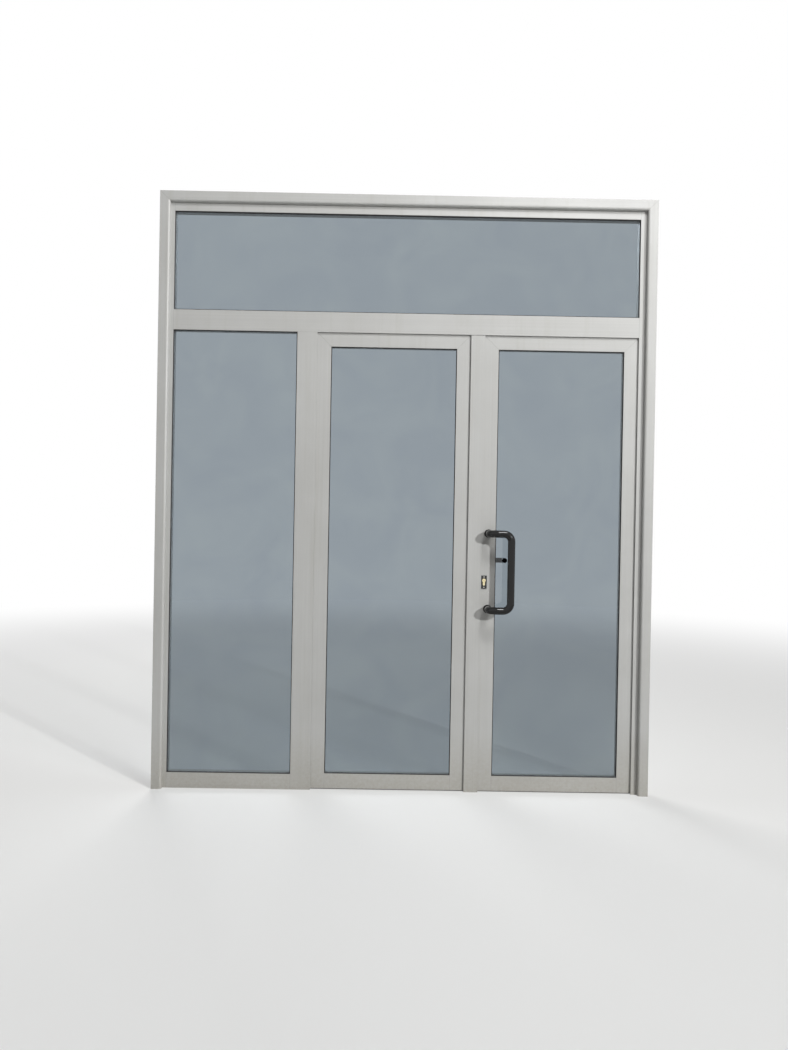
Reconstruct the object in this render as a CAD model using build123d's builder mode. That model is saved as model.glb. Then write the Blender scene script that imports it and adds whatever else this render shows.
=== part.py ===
from build123d import *
from dataclasses import dataclass
import os

# Aluminium entrance set with a light over the transom, a sidelight and two inward leaves
# Millimetres, X to the right as seen from outside, Y into the building, Z up from the floor
# The origin is in the middle of the set's width and of its whole depth, on the floor

# Width over the cover profiles, and heights of the doorway and of the light over its transom
OVERALL_WIDTH = 2325.0
DOOR_HEAD = 2150.0
TRANSOM_LIGHT_HEIGHT = 461.0

# Face widths of the frame, from the frame's own edge to the edge seen against glass or leaf
LEFT_JAMB_FACE = 42.5
RIGHT_JAMB_FACE = 52.0
HEAD_FACE = 62.5
MULLION_FACE = 94.0
TRANSOM_FACE = 94.0
SILL_RAIL_FACE = 72.0
LEAF_CLEAR_WIDTH = 722.0

# Frame profiles
FRAME_WALL = 2.5
FIN = 20.0
FIN_THICK = 3.0
POST_JOINT = 2.0

# Cover profiles that lap over the wall and the frame
COVER_WIDTH = 47.0
COVER_PROUD = 22.0
COVER_LAP = 24.5
COVER_WALL = 1.6
COVER_INNER_ROUND = 10.0
COVER_OUTER_ROUND = 2.0

# Leaf profiles
LEAF_SETBACK = 9.0
LEAF_DEPTH = 50.0
LEAF_WALL = 2.0
LEAF_FLANGE = 20.0
FLANGE_THICK = 2.0
LEAF_EDGE_GAP = 4.0
LEAF_OVERLAP = FIN - LEAF_EDGE_GAP
STILE_FACE = 81.0
BOTTOM_RAIL_FACE = 70.0
FLOOR_GAP = 5.0
FRAME_DEPTH = LEAF_SETBACK + LEAF_DEPTH

# Glazing
GLASS_THICK = 8.8
GLASS_BITE = 15.0
OUTER_GASKET = 4.0
INNER_GASKET = 3.0
GASKET_HIDDEN = 10.0
OUTER_GASKET_SHOW = 4.0
INNER_GASKET_SHOW = 2.0
GASKET_SLOPE = 2.5
BEAD_WALL = 1.5
BEAD_CHAMFER = 4.0
BEAD_END_GAP = 0.2
BLOCK_LENGTH = 100.0

# Seals
STOP_GASKET_WIDTH = 8.0
STOP_GASKET_INSET = 4.0
SEAL_CLEARANCE = 0.3
BRUSH_THICK = 8.0
BRUSH_FRONT = 6.0
BRUSH_END_GAP = 4.0
BRUSH_FLOOR_GAP = 0.8

# Hinges, seen only from inside
HINGE_FROM_END = 245.0
HINGE_HALF = 50.0
HINGE_PART_GAP = 0.4
BARREL_RADIUS = 9.0
BARREL_CLEARANCE = 2.0
HINGE_PLATE_THICK = 4.0
HINGE_PLATE_REACH = 32.0
HINGE_PLATE_GAP = 0.5
GUSSET = 5.0
PIN_RADIUS = 4.5
PIN_CLEARANCE = 0.05

# Pull handle, one bent tube on the lock stile
TUBE_RADIUS = 17.0
TUBE_WALL = 1.5
HANDLE_OUT = 81.0
HANDLE_ASIDE = 97.0
HANDLE_SPAN = 355.0
HANDLE_ABOVE_CYLINDER = 43.0
HANDLE_BEND = 35.0
COLLAR_RADIUS = 20.0
COLLAR_THICK = 5.0
COLLAR_CLEARANCE = 0.1
COLLAR_EDGE = 1.0

# Lock
BACKSET = 30.0
SPINDLE_HEIGHT = 1090.0
CYLINDER_BELOW_SPINDLE = 92.0
CASE_THICK = 15.0
CASE_PAST_SPINDLE = 25.0
CASE_BELOW_CYLINDER = 38.0
CASE_ABOVE_SPINDLE = 52.0
CASE_WALL = 1.5
FACEPLATE_WIDTH = 24.0
FACEPLATE_THICK = 2.5
FACEPLATE_BELOW_CASE = 33.0
FACEPLATE_ABOVE_CASE = 32.0
BOLT_CLEARANCE = 0.5
LATCH_THICK = 11.0
LATCH_HEIGHT = 23.0
LATCH_ABOVE_SPINDLE = 22.0
LATCH_OUT = 11.0
LATCH_NOSE = 1.0
LATCH_HEAD = 16.0
LATCH_TAIL_THICK = 5.5
LATCH_TAIL_ABOVE = 5.75
LATCH_TAIL_PAST_SPINDLE = 10.0
HUB_RADIUS = 9.0
HUB_ARM = 17.0
HUB_ARM_HALF = 2.0
HUB_NOTCH_HALF = 5.0
HUB_NOTCH_ABOVE = 2.0
SPINDLE_SIDE = 8.0
SPINDLE_FIT = 0.1
SPINDLE_HOLE_RADIUS = 6.5
DEAD_BOLT_ABOVE_CYLINDER = 41.0
DEAD_BOLT_HEIGHT = 22.0
DEAD_BOLT_THROW = 20.0
DEAD_BOLT_HELD = 15.0

# Lock cylinder and its plates
EURO_RADIUS = 8.5
EURO_WEB = 10.0
EURO_HEIGHT = 33.0
EURO_CLEARANCE = 0.5
CYLINDER_PROUD = 5.0
PLUG_RADIUS = 6.5
PLUG_CLEARANCE = 0.05
PLUG_PROUD = 0.6
CAM_RADIUS = 13.0
CAM_THICK = 9.0
CAM_SIDE_CLEARANCE = 0.5
CAM_WIDTH = 7.0
CAM_BRIDGE = 5.5
KEYWAY_WIDTH = 2.0
KEYWAY_HEIGHT = 8.0
KEYWAY_DEPTH = 6.0
TURN_LENGTH = 30.0
TURN_THICK = 9.0
TURN_OUT = 16.0
PLATE_WIDTH = 27.0
PLATE_PAST_CYLINDER = 14.5
PLATE_THICK = 4.0
PLATE_ROUND = 2.0
PLATE_SCREW_PAST_CYLINDER = 7.5
SCREW_RADIUS = 2.0
SCREW_HEAD_RADIUS = 3.2
SCREW_HEAD_THICK = 1.4
SCREW_CLEARANCE = 0.1

# Inside lever, one round bar whose end turns back towards the leaf
ROSE_RADIUS = 25.0
ROSE_THICK = 8.0
ROSE_EDGE = 1.5
LEVER_RADIUS = 12.0
LEVER_CLEARANCE = 0.3
LEVER_OUT = 34.0
LEVER_LENGTH = 118.0
LEVER_BEND = 22.0
LEVER_RETURN_GAP = 15.0
LEVER_END_ROUND = 3.0

# Strike in the centre post
STRIKE_PLATE_BELOW_BOLT = 26.0
STRIKE_PLATE_ABOVE_LATCH = 50.0
STRIKE_BODY_HALF = 30.0
STRIKE_BODY_FRONT = 22.0
STRIKE_SIDE_GAP = 0.5
STRIKE_WALL = 4.3
LATCH_TIP_CLEARANCE = 1.0
KEEPER_PAST_LATCH = 7.0
KEEPER_REACH = 13.0
KEEPER_HALF = 4.0
KEEPER_BEHIND_LATCH = 1.0
KEEPER_OVER_LATCH = 1.5
KEEPER_SPACE = 0.7
KEEPER_PIN_RADIUS = 2.0
KEEPER_PIN_LENGTH = 4.0

# Flush bolts in the free edge of the passive leaf
ROD_RADIUS = 5.0
ROD_CLEARANCE = 0.3
ROD_SOCKET_CLEARANCE = 0.5
ROD_IN = 16.0
ROD_END_GAP = 1.0
BOLT_TRAVEL = 18.0
HOUSING_HALF = 80.0
HOUSING_FROM_END = 216.0
HOUSING_WIDTH = 20.0
HOUSING_BODY_IN = 24.0
HOUSING_BODY_WIDTH = 16.0
KNOB_WIDTH = 6.0
KNOB_HEIGHT = 12.0
KNOB_CLEARANCE = 1.0

# Wall fixing holes through the jambs and the head
ANCHOR_RADIUS = 4.0
ANCHOR_COUNT = 4
ANCHOR_FROM_FLOOR = 250.0
ANCHOR_FROM_TOP = 267.5
ANCHOR_HEAD_HALF_SPACING = 700.0

# A length longer than any cut needs to be
THROUGH = 200.0

os.makedirs("parts", exist_ok=True)

# The face of the frame is placed so that the whole set is centred on Y
FRONT_REACH = HANDLE_OUT + TUBE_RADIUS - LEAF_SETBACK
BACK_REACH = FRAME_DEPTH + LEVER_OUT + 2 * LEVER_RADIUS
FACE_Y = (FRONT_REACH - BACK_REACH) / 2

# The centre post is as wide as the strike behind the latch needs
POST_FACE = (
    LEAF_OVERLAP
    + LATCH_OUT
    + KEEPER_PAST_LATCH
    + KEEPER_HALF
    + KEEPER_SPACE
    + STRIKE_WALL
    + STRIKE_SIDE_GAP
    + FRAME_WALL
    + FIN
)

# Edges across the width
HALF_WIDTH = OVERALL_WIDTH / 2
FRAME_LEFT = COVER_WIDTH - COVER_LAP - HALF_WIDTH
FRAME_RIGHT = -FRAME_LEFT
LEFT_SIGHT = FRAME_LEFT + LEFT_JAMB_FACE
RIGHT_SIGHT = FRAME_RIGHT - RIGHT_JAMB_FACE
POST_RIGHT = RIGHT_SIGHT - LEAF_CLEAR_WIDTH
POST_LEFT = POST_RIGHT - POST_FACE
MULLION_RIGHT = POST_LEFT - LEAF_CLEAR_WIDTH
MULLION_LEFT = MULLION_RIGHT - MULLION_FACE

# Edges up the height
TRANSOM_TOP = DOOR_HEAD + TRANSOM_FACE
HEAD_SIGHT = TRANSOM_TOP + TRANSOM_LIGHT_HEIGHT
FRAME_TOP = HEAD_SIGHT + HEAD_FACE
OVERALL_HEIGHT = FRAME_TOP + COVER_WIDTH - COVER_LAP
LEAF_TOP = DOOR_HEAD + LEAF_OVERLAP
LEAF_BOTTOM = FLOOR_GAP
LEAF_MIDDLE = LEAF_SETBACK + LEAF_DEPTH / 2

# Heights of the hinges and of the wall fixings
HINGE_HEIGHTS = (
    LEAF_BOTTOM + HINGE_FROM_END,
    (LEAF_BOTTOM + LEAF_TOP) / 2,
    LEAF_TOP - HINGE_FROM_END,
)
ANCHOR_STEP = (FRAME_TOP - ANCHOR_FROM_FLOOR - ANCHOR_FROM_TOP) / (ANCHOR_COUNT - 1)
ANCHOR_HEIGHTS = [ANCHOR_FROM_FLOOR + step * ANCHOR_STEP for step in range(ANCHOR_COUNT)]

# Heights of the lock, all from its spindle and its cylinder
CYLINDER_HEIGHT = SPINDLE_HEIGHT - CYLINDER_BELOW_SPINDLE
CASE_BOTTOM = CYLINDER_HEIGHT - CASE_BELOW_CYLINDER
CASE_TOP = SPINDLE_HEIGHT + CASE_ABOVE_SPINDLE
FACEPLATE_BOTTOM = CASE_BOTTOM - FACEPLATE_BELOW_CASE
FACEPLATE_TOP = CASE_TOP + FACEPLATE_ABOVE_CASE
LATCH_LEVEL = SPINDLE_HEIGHT + LATCH_ABOVE_SPINDLE
DEAD_BOLT_LEVEL = CYLINDER_HEIGHT + DEAD_BOLT_ABOVE_CYLINDER
HANDLE_MIDDLE = CYLINDER_HEIGHT + HANDLE_ABOVE_CYLINDER


def at_depth(depth):
    """World Y of a depth measured from the frame's outside face."""
    return FACE_Y + depth


def facade(depth):
    """Plane parallel to the door's face, with X to the right and Z up."""
    return Plane(origin=(0, at_depth(depth), 0), x_dir=(1, 0, 0), z_dir=(0, -1, 0))


def crosswise(x):
    """Plane across a level bar: its sketch takes height and depth, and it extrudes to the left."""
    return Plane(origin=(x, 0, 0), x_dir=(0, 0, 1), z_dir=(-1, 0, 0))


def block(x, y, z, mode=Mode.ADD):
    """Block between pairs of X, depth and Z, in either order."""
    centre = (sum(x) / 2, at_depth(sum(y) / 2), sum(z) / 2)
    with Locations(centre):
        Box(abs(x[1] - x[0]), abs(y[1] - y[0]), abs(z[1] - z[0]), mode=mode)


def section(across, depth, mode=Mode.ADD):
    """Rectangle in the section of a bar, between pairs of edges and of depths."""
    with Locations((sum(across) / 2, at_depth(sum(depth) / 2))):
        Rectangle(abs(across[1] - across[0]), abs(depth[1] - depth[0]), mode=mode)


def cut_corner(points):
    """Cut a prism with this outline in the door's face through the whole depth."""
    with BuildSketch(facade(0)) as outline:
        with BuildLine():
            Polyline(*points, close=True)
        make_face()
    extrude(outline.sketch, amount=THROUGH, both=True, mode=Mode.SUBTRACT)


def drill(position, radius, direction, depth_range):
    """Round hole along X, Y or Z between two coordinates on that axis."""
    axis = {"X": Plane.YZ, "Y": Plane.XZ, "Z": Plane.XY}[direction]
    start, end = depth_range
    origin = {
        "X": (start, at_depth(position[0]), position[1]),
        "Y": (position[0], at_depth(end), position[1]),
        "Z": (position[0], at_depth(position[1]), start),
    }[direction]
    with BuildSketch(Plane(origin=origin, x_dir=axis.x_dir, z_dir=axis.z_dir)) as hole:
        Circle(radius)
    extrude(hole.sketch, amount=end - start, mode=Mode.SUBTRACT)


def keep(piece, node):
    """Label a finished piece and write it to its own file."""
    piece.part.label = node
    export_step(piece.part, f"parts/{node}.step")


# Frame


def frame_bar(plane, length, low, high, low_fin, high_fin):
    """Hollow frame profile between two face edges, with a face fin on the sides that have one."""
    body_low = low + FIN if low_fin else low
    body_high = high - FIN if high_fin else high
    with BuildPart() as bar:
        with BuildSketch(plane):
            section((body_low, body_high), (0, FRAME_DEPTH))
            section(
                (body_low + FRAME_WALL, body_high - FRAME_WALL),
                (FRAME_WALL, FRAME_DEPTH - FRAME_WALL),
                Mode.SUBTRACT,
            )
            section((low, high), (0, FIN_THICK))
        extrude(amount=length)
    return bar


with BuildPart() as left_jamb:
    add(frame_bar(Plane.XY, FRAME_TOP, FRAME_LEFT, LEFT_SIGHT, False, True).part)
    for height in ANCHOR_HEIGHTS:
        drill((FRAME_DEPTH / 2, height), ANCHOR_RADIUS, "X", (FRAME_LEFT, LEFT_SIGHT))
keep(left_jamb, "left_jamb")

with BuildPart() as right_jamb:
    add(frame_bar(Plane.XY, FRAME_TOP, RIGHT_SIGHT, FRAME_RIGHT, True, False).part)
    for height in ANCHOR_HEIGHTS:
        drill((FRAME_DEPTH / 2, height), ANCHOR_RADIUS, "X", (RIGHT_SIGHT, FRAME_RIGHT))
keep(right_jamb, "right_jamb")

BETWEEN_JAMBS = (LEFT_SIGHT - FIN, RIGHT_SIGHT + FIN)


def level_bar(ends, low, high, low_fin, high_fin):
    """Frame bar that butts between two upright bodies and stops short under their fins."""
    left, right = ends
    with BuildPart() as bar:
        add(frame_bar(crosswise(right), right - left, low, high, low_fin, high_fin).part)
        block((left, left + FIN), (0, FIN_THICK), (low, high), Mode.SUBTRACT)
        block((right - FIN, right), (0, FIN_THICK), (low, high), Mode.SUBTRACT)
    return bar


def upright_bar(left, right, joint=0.0):
    """Frame bar from the floor to the transom's body, its face ending a joint below the fin."""
    with BuildPart() as bar:
        add(frame_bar(Plane.XY, DOOR_HEAD + FIN, left, right, True, True).part)
        block((left, right), (0, FIN_THICK), (DOOR_HEAD - joint, DOOR_HEAD + FIN), Mode.SUBTRACT)
    return bar


with BuildPart() as head:
    add(level_bar(BETWEEN_JAMBS, HEAD_SIGHT, FRAME_TOP, True, False).part)
    for x in (-ANCHOR_HEAD_HALF_SPACING, ANCHOR_HEAD_HALF_SPACING):
        drill((x, FRAME_DEPTH / 2), ANCHOR_RADIUS, "Z", (HEAD_SIGHT, FRAME_TOP))
keep(head, "head")

ROD_X = POST_LEFT + LEAF_OVERLAP - ROD_IN

with BuildPart() as transom_bar:
    add(level_bar(BETWEEN_JAMBS, DOOR_HEAD, TRANSOM_TOP, True, True).part)
    drill(
        (ROD_X, LEAF_MIDDLE),
        ROD_RADIUS + ROD_SOCKET_CLEARANCE,
        "Z",
        (DOOR_HEAD, DOOR_HEAD + FIN + FRAME_WALL),
    )
keep(transom_bar, "transom_bar")

mullion = upright_bar(MULLION_LEFT, MULLION_RIGHT)
keep(mullion, "mullion")

sidelight_bottom_rail = level_bar(
    (LEFT_SIGHT - FIN, MULLION_LEFT + FIN), 0, SILL_RAIL_FACE, False, True
)
keep(sidelight_bottom_rail, "sidelight_bottom_rail")


# Cover profiles, mitred at the top corners


def front_corners(inward):
    """Corners of the sketched rectangle at its front, from the wall's side to the door's side."""
    return vertices().group_by(Axis.Y)[0].sort_by(Axis.X)[::inward]


def cover_bar(plane, length, outer, inner):
    """Snap-on channel, open at its back, with a well rounded edge towards the door."""
    inward = 1 if inner > outer else -1
    cavity = (outer + inward * COVER_WALL, inner - inward * COVER_WALL)
    with BuildPart() as bar:
        with BuildSketch(plane):
            section((outer, inner), (-COVER_PROUD, 0))
            outer_corner, inner_corner = front_corners(inward)
            fillet(inner_corner, COVER_INNER_ROUND)
            fillet(outer_corner, COVER_OUTER_ROUND)
        extrude(amount=length)
        with BuildSketch(plane):
            section(cavity, (COVER_WALL - COVER_PROUD, 0))
            fillet(front_corners(inward)[1], COVER_INNER_ROUND - COVER_WALL)
        extrude(amount=length, mode=Mode.SUBTRACT)
    return bar


def cover_upright(outer, inner):
    """Cover from the floor up, cut at 45 degrees where it meets the head cover."""
    with BuildPart() as bar:
        add(cover_bar(Plane.XY, OVERALL_HEIGHT, outer, inner).part)
        cut_corner(
            [
                (outer, OVERALL_HEIGHT),
                (inner, OVERALL_HEIGHT),
                (inner, OVERALL_HEIGHT - COVER_WIDTH),
            ]
        )
    return bar


left_cover = cover_upright(-HALF_WIDTH, COVER_WIDTH - HALF_WIDTH)
keep(left_cover, "left_cover")

right_cover = cover_upright(HALF_WIDTH, HALF_WIDTH - COVER_WIDTH)
keep(right_cover, "right_cover")

with BuildPart() as head_cover:
    add(
        cover_bar(
            crosswise(HALF_WIDTH), OVERALL_WIDTH, OVERALL_HEIGHT, OVERALL_HEIGHT - COVER_WIDTH
        ).part
    )
    for side in (-1, 1):
        cut_corner(
            [
                (side * HALF_WIDTH, OVERALL_HEIGHT),
                (side * HALF_WIDTH, OVERALL_HEIGHT - COVER_WIDTH),
                (side * (HALF_WIDTH - COVER_WIDTH), OVERALL_HEIGHT - COVER_WIDTH),
            ]
        )
keep(head_cover, "head_cover")


# Glazing, alike in the fixed lights and the leaves


@dataclass
class Light:
    """One glazed opening: its sight edges, its rebate, and the depths of the rebate's two faces."""

    left: float
    right: float
    bottom: float
    top: float
    rebate: float
    front: float
    back: float

    @property
    def glass_front(self):
        return self.front + OUTER_GASKET

    @property
    def glass_back(self):
        return self.glass_front + GLASS_THICK

    @property
    def bead_front(self):
        return self.glass_back + INNER_GASKET

    @property
    def middle(self):
        return ((self.left + self.right) / 2, (self.bottom + self.top) / 2)

    def grown(self, margin):
        """Width and height of the sight opening, larger by a margin on every side."""
        return self.right - self.left + 2 * margin, self.top - self.bottom + 2 * margin


def pane(light):
    """Laminated glass that reaches into the rebate on every side."""
    with BuildPart() as glass:
        with BuildSketch(facade(light.glass_front)):
            with Locations(light.middle):
                Rectangle(*light.grown(GLASS_BITE))
        extrude(amount=-GLASS_THICK)
    return glass


def gasket_pair(light):
    """Outer gasket with a sloped lip on the glass, and a thinner one between glass and beads."""
    with BuildPart() as outer:
        with BuildSketch(facade(light.front)):
            with Locations(light.middle):
                Rectangle(*light.grown(GASKET_HIDDEN))
                Rectangle(*light.grown(-OUTER_GASKET_SHOW), mode=Mode.SUBTRACT)
        extrude(amount=-OUTER_GASKET)
        lip = outer.faces().sort_by(Axis.Y)[0].inner_wires()[0]
        chamfer(lip.edges(), GASKET_SLOPE)
    with BuildPart() as pair:
        add(outer.part)
        with BuildSketch(facade(light.glass_back)):
            with Locations(light.middle):
                Rectangle(*light.grown(GASKET_HIDDEN))
                Rectangle(*light.grown(-INNER_GASKET_SHOW), mode=Mode.SUBTRACT)
        extrude(amount=-INNER_GASKET)
    return pair


def bead(plane, length, seat, sight, light):
    """Hollow glazing bead from the rebate's floor to the sight edge, chamfered at the back."""
    inward = 1 if sight > seat else -1
    with BuildPart() as bar:
        with BuildSketch(plane) as profile:
            section((seat, sight), (light.bead_front, light.back))
            back_corners = profile.vertices().group_by(Axis.Y)[-1].sort_by(Axis.X)[::inward]
            chamfer(back_corners[1], BEAD_CHAMFER)
            offset(amount=-BEAD_WALL, kind=Kind.INTERSECTION, mode=Mode.SUBTRACT)
        extrude(amount=length)
    return bar


def bead_set(light):
    """Two level beads between the uprights and two upright beads cut to fit between those."""
    width, _ = light.grown(light.rebate)
    height = light.top - light.bottom - 2 * BEAD_END_GAP
    level = crosswise(light.right + light.rebate)
    upright = Plane.XY.offset(light.bottom + BEAD_END_GAP)
    with BuildPart() as beads:
        add(bead(level, width, light.bottom - light.rebate, light.bottom, light).part)
        add(bead(level, width, light.top + light.rebate, light.top, light).part)
        add(bead(upright, height, light.left - light.rebate, light.left, light).part)
        add(bead(upright, height, light.right + light.rebate, light.right, light).part)
    return beads


def setting_blocks(lights):
    """Two plastic blocks under each pane, at the quarter points of its width."""
    with BuildPart() as blocks:
        for light in lights:
            for share in (0.25, 0.75):
                x = light.left + share * (light.right - light.left)
                block(
                    (x - BLOCK_LENGTH / 2, x + BLOCK_LENGTH / 2),
                    (light.glass_front, light.glass_back),
                    (light.bottom - light.rebate, light.bottom - GLASS_BITE),
                )
    return blocks


FRAME_REBATE = (FIN, FIN_THICK, FRAME_DEPTH)
TRANSOM_LIGHT = Light(LEFT_SIGHT, RIGHT_SIGHT, TRANSOM_TOP, HEAD_SIGHT, *FRAME_REBATE)
SIDELIGHT = Light(LEFT_SIGHT, MULLION_LEFT, SILL_RAIL_FACE, DOOR_HEAD, *FRAME_REBATE)

for name, light in (("transom", TRANSOM_LIGHT), ("sidelight", SIDELIGHT)):
    keep(pane(light), f"{name}_glass")
    keep(gasket_pair(light), f"{name}_gaskets")
    keep(bead_set(light), f"{name}_beads")
keep(setting_blocks((TRANSOM_LIGHT, SIDELIGHT)), "frame_setting_blocks")


# Leaves


@dataclass
class Leaf:
    """One leaf: the edges of the doorway at its hinges and at its free side."""

    name: str
    hinge_sight: float
    free_sight: float

    @property
    def to_hinge(self):
        return 1 if self.hinge_sight > self.free_sight else -1

    @property
    def hinge_edge(self):
        return self.hinge_sight + self.to_hinge * LEAF_OVERLAP

    @property
    def free_edge(self):
        return self.free_sight - self.to_hinge * LEAF_OVERLAP

    @property
    def axis_x(self):
        """The hinge axis stands over the middle of the gap beside the leaf."""
        return self.hinge_sight + self.to_hinge * (LEAF_OVERLAP + FIN) / 2

    @property
    def edges(self):
        return sorted((self.hinge_edge, self.free_edge))

    @property
    def light(self):
        left, right = self.edges
        return Light(
            left + STILE_FACE,
            right - STILE_FACE,
            LEAF_BOTTOM + BOTTOM_RAIL_FACE,
            LEAF_TOP - STILE_FACE,
            LEAF_FLANGE,
            LEAF_SETBACK + FLANGE_THICK,
            FRAME_DEPTH,
        )


ACTIVE = Leaf("active", RIGHT_SIGHT, POST_RIGHT)
PASSIVE = Leaf("passive", MULLION_RIGHT, POST_LEFT)


def leaf_bar(plane, length, outer, sight):
    """Hollow leaf profile with a face flange on the side of the glass."""
    inward = 1 if sight > outer else -1
    tube_end = sight - inward * LEAF_FLANGE
    with BuildPart() as bar:
        with BuildSketch(plane):
            section((outer, tube_end), (LEAF_SETBACK, FRAME_DEPTH))
            section(
                (outer + inward * LEAF_WALL, tube_end - inward * LEAF_WALL),
                (LEAF_SETBACK + LEAF_WALL, FRAME_DEPTH - LEAF_WALL),
                Mode.SUBTRACT,
            )
            section((outer, sight), (LEAF_SETBACK, LEAF_SETBACK + FLANGE_THICK))
        extrude(amount=length)
    return bar


def leaf_stile(outer, sight):
    """Upright of a leaf, mitred at the top and running to the bottom of the leaf."""
    with BuildPart() as stile:
        add(leaf_bar(Plane.XY.offset(LEAF_BOTTOM), LEAF_TOP - LEAF_BOTTOM, outer, sight).part)
        cut_corner([(outer, LEAF_TOP), (sight, LEAF_TOP), (sight, LEAF_TOP - STILE_FACE)])
    return stile


def leaf_top_rail(leaf):
    """Top rail, mitred to both stiles."""
    left, right = leaf.edges
    with BuildPart() as rail:
        add(leaf_bar(crosswise(right), right - left, LEAF_TOP, leaf.light.top).part)
        for outer, sight in ((left, leaf.light.left), (right, leaf.light.right)):
            cut_corner([(outer, LEAF_TOP), (outer, leaf.light.top), (sight, leaf.light.top)])
    return rail


def leaf_bottom_rail(leaf):
    """Bottom rail, butted between the stiles, its face cut back for their flanges."""
    left = leaf.light.left - LEAF_FLANGE
    right = leaf.light.right + LEAF_FLANGE
    heights = (LEAF_BOTTOM, leaf.light.bottom)
    flange = (LEAF_SETBACK, LEAF_SETBACK + FLANGE_THICK)
    with BuildPart() as rail:
        add(leaf_bar(crosswise(right), right - left, *heights).part)
        block((left, leaf.light.left), flange, heights, Mode.SUBTRACT)
        block((leaf.light.right, right), flange, heights, Mode.SUBTRACT)
    return rail


def brush_seal(leaf):
    """Brush strip under the leaf, near its outside face."""
    left, right = leaf.edges
    front = LEAF_SETBACK + BRUSH_FRONT
    with BuildPart() as brush:
        block(
            (left + BRUSH_END_GAP, right - BRUSH_END_GAP),
            (front, front + BRUSH_THICK),
            (BRUSH_FLOOR_GAP, LEAF_BOTTOM),
        )
    return brush


HINGE_AXIS_DEPTH = FRAME_DEPTH + BARREL_CLEARANCE + BARREL_RADIUS


def knuckle(axis_x, to_plate, bottom, top):
    """Half of a barrel hinge: its barrel, a gusset and the plate on the profile's rear face."""
    plate_start = axis_x + to_plate * (BARREL_CLEARANCE + HINGE_PLATE_GAP)
    plate_top = FRAME_DEPTH + HINGE_PLATE_THICK
    with BuildPart() as half:
        with BuildSketch(Plane.XY.offset(bottom)):
            with Locations((axis_x, at_depth(HINGE_AXIS_DEPTH))):
                Circle(BARREL_RADIUS)
            section((plate_start, axis_x + to_plate * HINGE_PLATE_REACH), (FRAME_DEPTH, plate_top))
            with BuildLine():
                Polyline(
                    (plate_start, at_depth(plate_top)),
                    (axis_x + to_plate * BARREL_RADIUS, at_depth(HINGE_AXIS_DEPTH)),
                    (axis_x + to_plate * (BARREL_RADIUS + GUSSET), at_depth(plate_top)),
                    close=True,
                )
            make_face()
            with Locations((axis_x, at_depth(HINGE_AXIS_DEPTH))):
                Circle(PIN_RADIUS + PIN_CLEARANCE, mode=Mode.SUBTRACT)
        extrude(amount=top - bottom)
    return half


def hinge_knuckles(axis_x, to_plate, from_middle):
    """The same half of the three hinges of one leaf, above or below the middle of each."""
    with BuildPart() as knuckles:
        for height in HINGE_HEIGHTS:
            low, high = (height + share for share in from_middle)
            add(knuckle(axis_x, to_plate, low, high).part)
    return knuckles


LOWER_HALF = (-HINGE_HALF, -HINGE_PART_GAP / 2)
UPPER_HALF = (HINGE_PART_GAP / 2, HINGE_HALF)

with BuildPart() as frame_hinge_knuckles:
    for leaf in (ACTIVE, PASSIVE):
        add(hinge_knuckles(leaf.axis_x, leaf.to_hinge, LOWER_HALF).part)
keep(frame_hinge_knuckles, "frame_hinge_knuckles")

with BuildPart() as hinge_pins:
    for leaf in (ACTIVE, PASSIVE):
        for height in HINGE_HEIGHTS:
            with Locations((leaf.axis_x, at_depth(HINGE_AXIS_DEPTH), height)):
                Cylinder(PIN_RADIUS, 2 * HINGE_HALF)
keep(hinge_pins, "hinge_pins")

with BuildPart() as stop_gaskets:
    for leaf in (ACTIVE, PASSIVE):
        left, right = sorted((leaf.hinge_sight, leaf.free_sight))
        outer = STOP_GASKET_INSET + STOP_GASKET_WIDTH
        with BuildSketch(facade(FIN_THICK)):
            with BuildLine():
                Polyline(
                    (left - outer, 0),
                    (left - outer, DOOR_HEAD + outer),
                    (right + outer, DOOR_HEAD + outer),
                    (right + outer, 0),
                    (right + STOP_GASKET_INSET, 0),
                    (right + STOP_GASKET_INSET, DOOR_HEAD + STOP_GASKET_INSET),
                    (left - STOP_GASKET_INSET, DOOR_HEAD + STOP_GASKET_INSET),
                    (left - STOP_GASKET_INSET, 0),
                    close=True,
                )
            make_face()
        extrude(amount=FIN_THICK + SEAL_CLEARANCE - LEAF_SETBACK)
keep(stop_gaskets, "stop_gaskets")

for leaf in (ACTIVE, PASSIVE):
    keep(leaf_bottom_rail(leaf), f"{leaf.name}_bottom_rail")
    keep(pane(leaf.light), f"{leaf.name}_glass")
    keep(gasket_pair(leaf.light), f"{leaf.name}_gaskets")
    keep(bead_set(leaf.light), f"{leaf.name}_beads")
    keep(setting_blocks((leaf.light,)), f"{leaf.name}_setting_blocks")
    keep(brush_seal(leaf), f"{leaf.name}_brush_seal")
    keep(hinge_knuckles(leaf.axis_x, -leaf.to_hinge, UPPER_HALF), f"{leaf.name}_hinge_knuckles")
    hinge_stile = leaf_stile(leaf.hinge_edge, leaf.hinge_edge - leaf.to_hinge * STILE_FACE)
    keep(hinge_stile, f"{leaf.name}_hinge_stile")

keep(leaf_top_rail(ACTIVE), "active_top_rail")

# Lock positions, all from the active leaf's free edge

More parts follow.
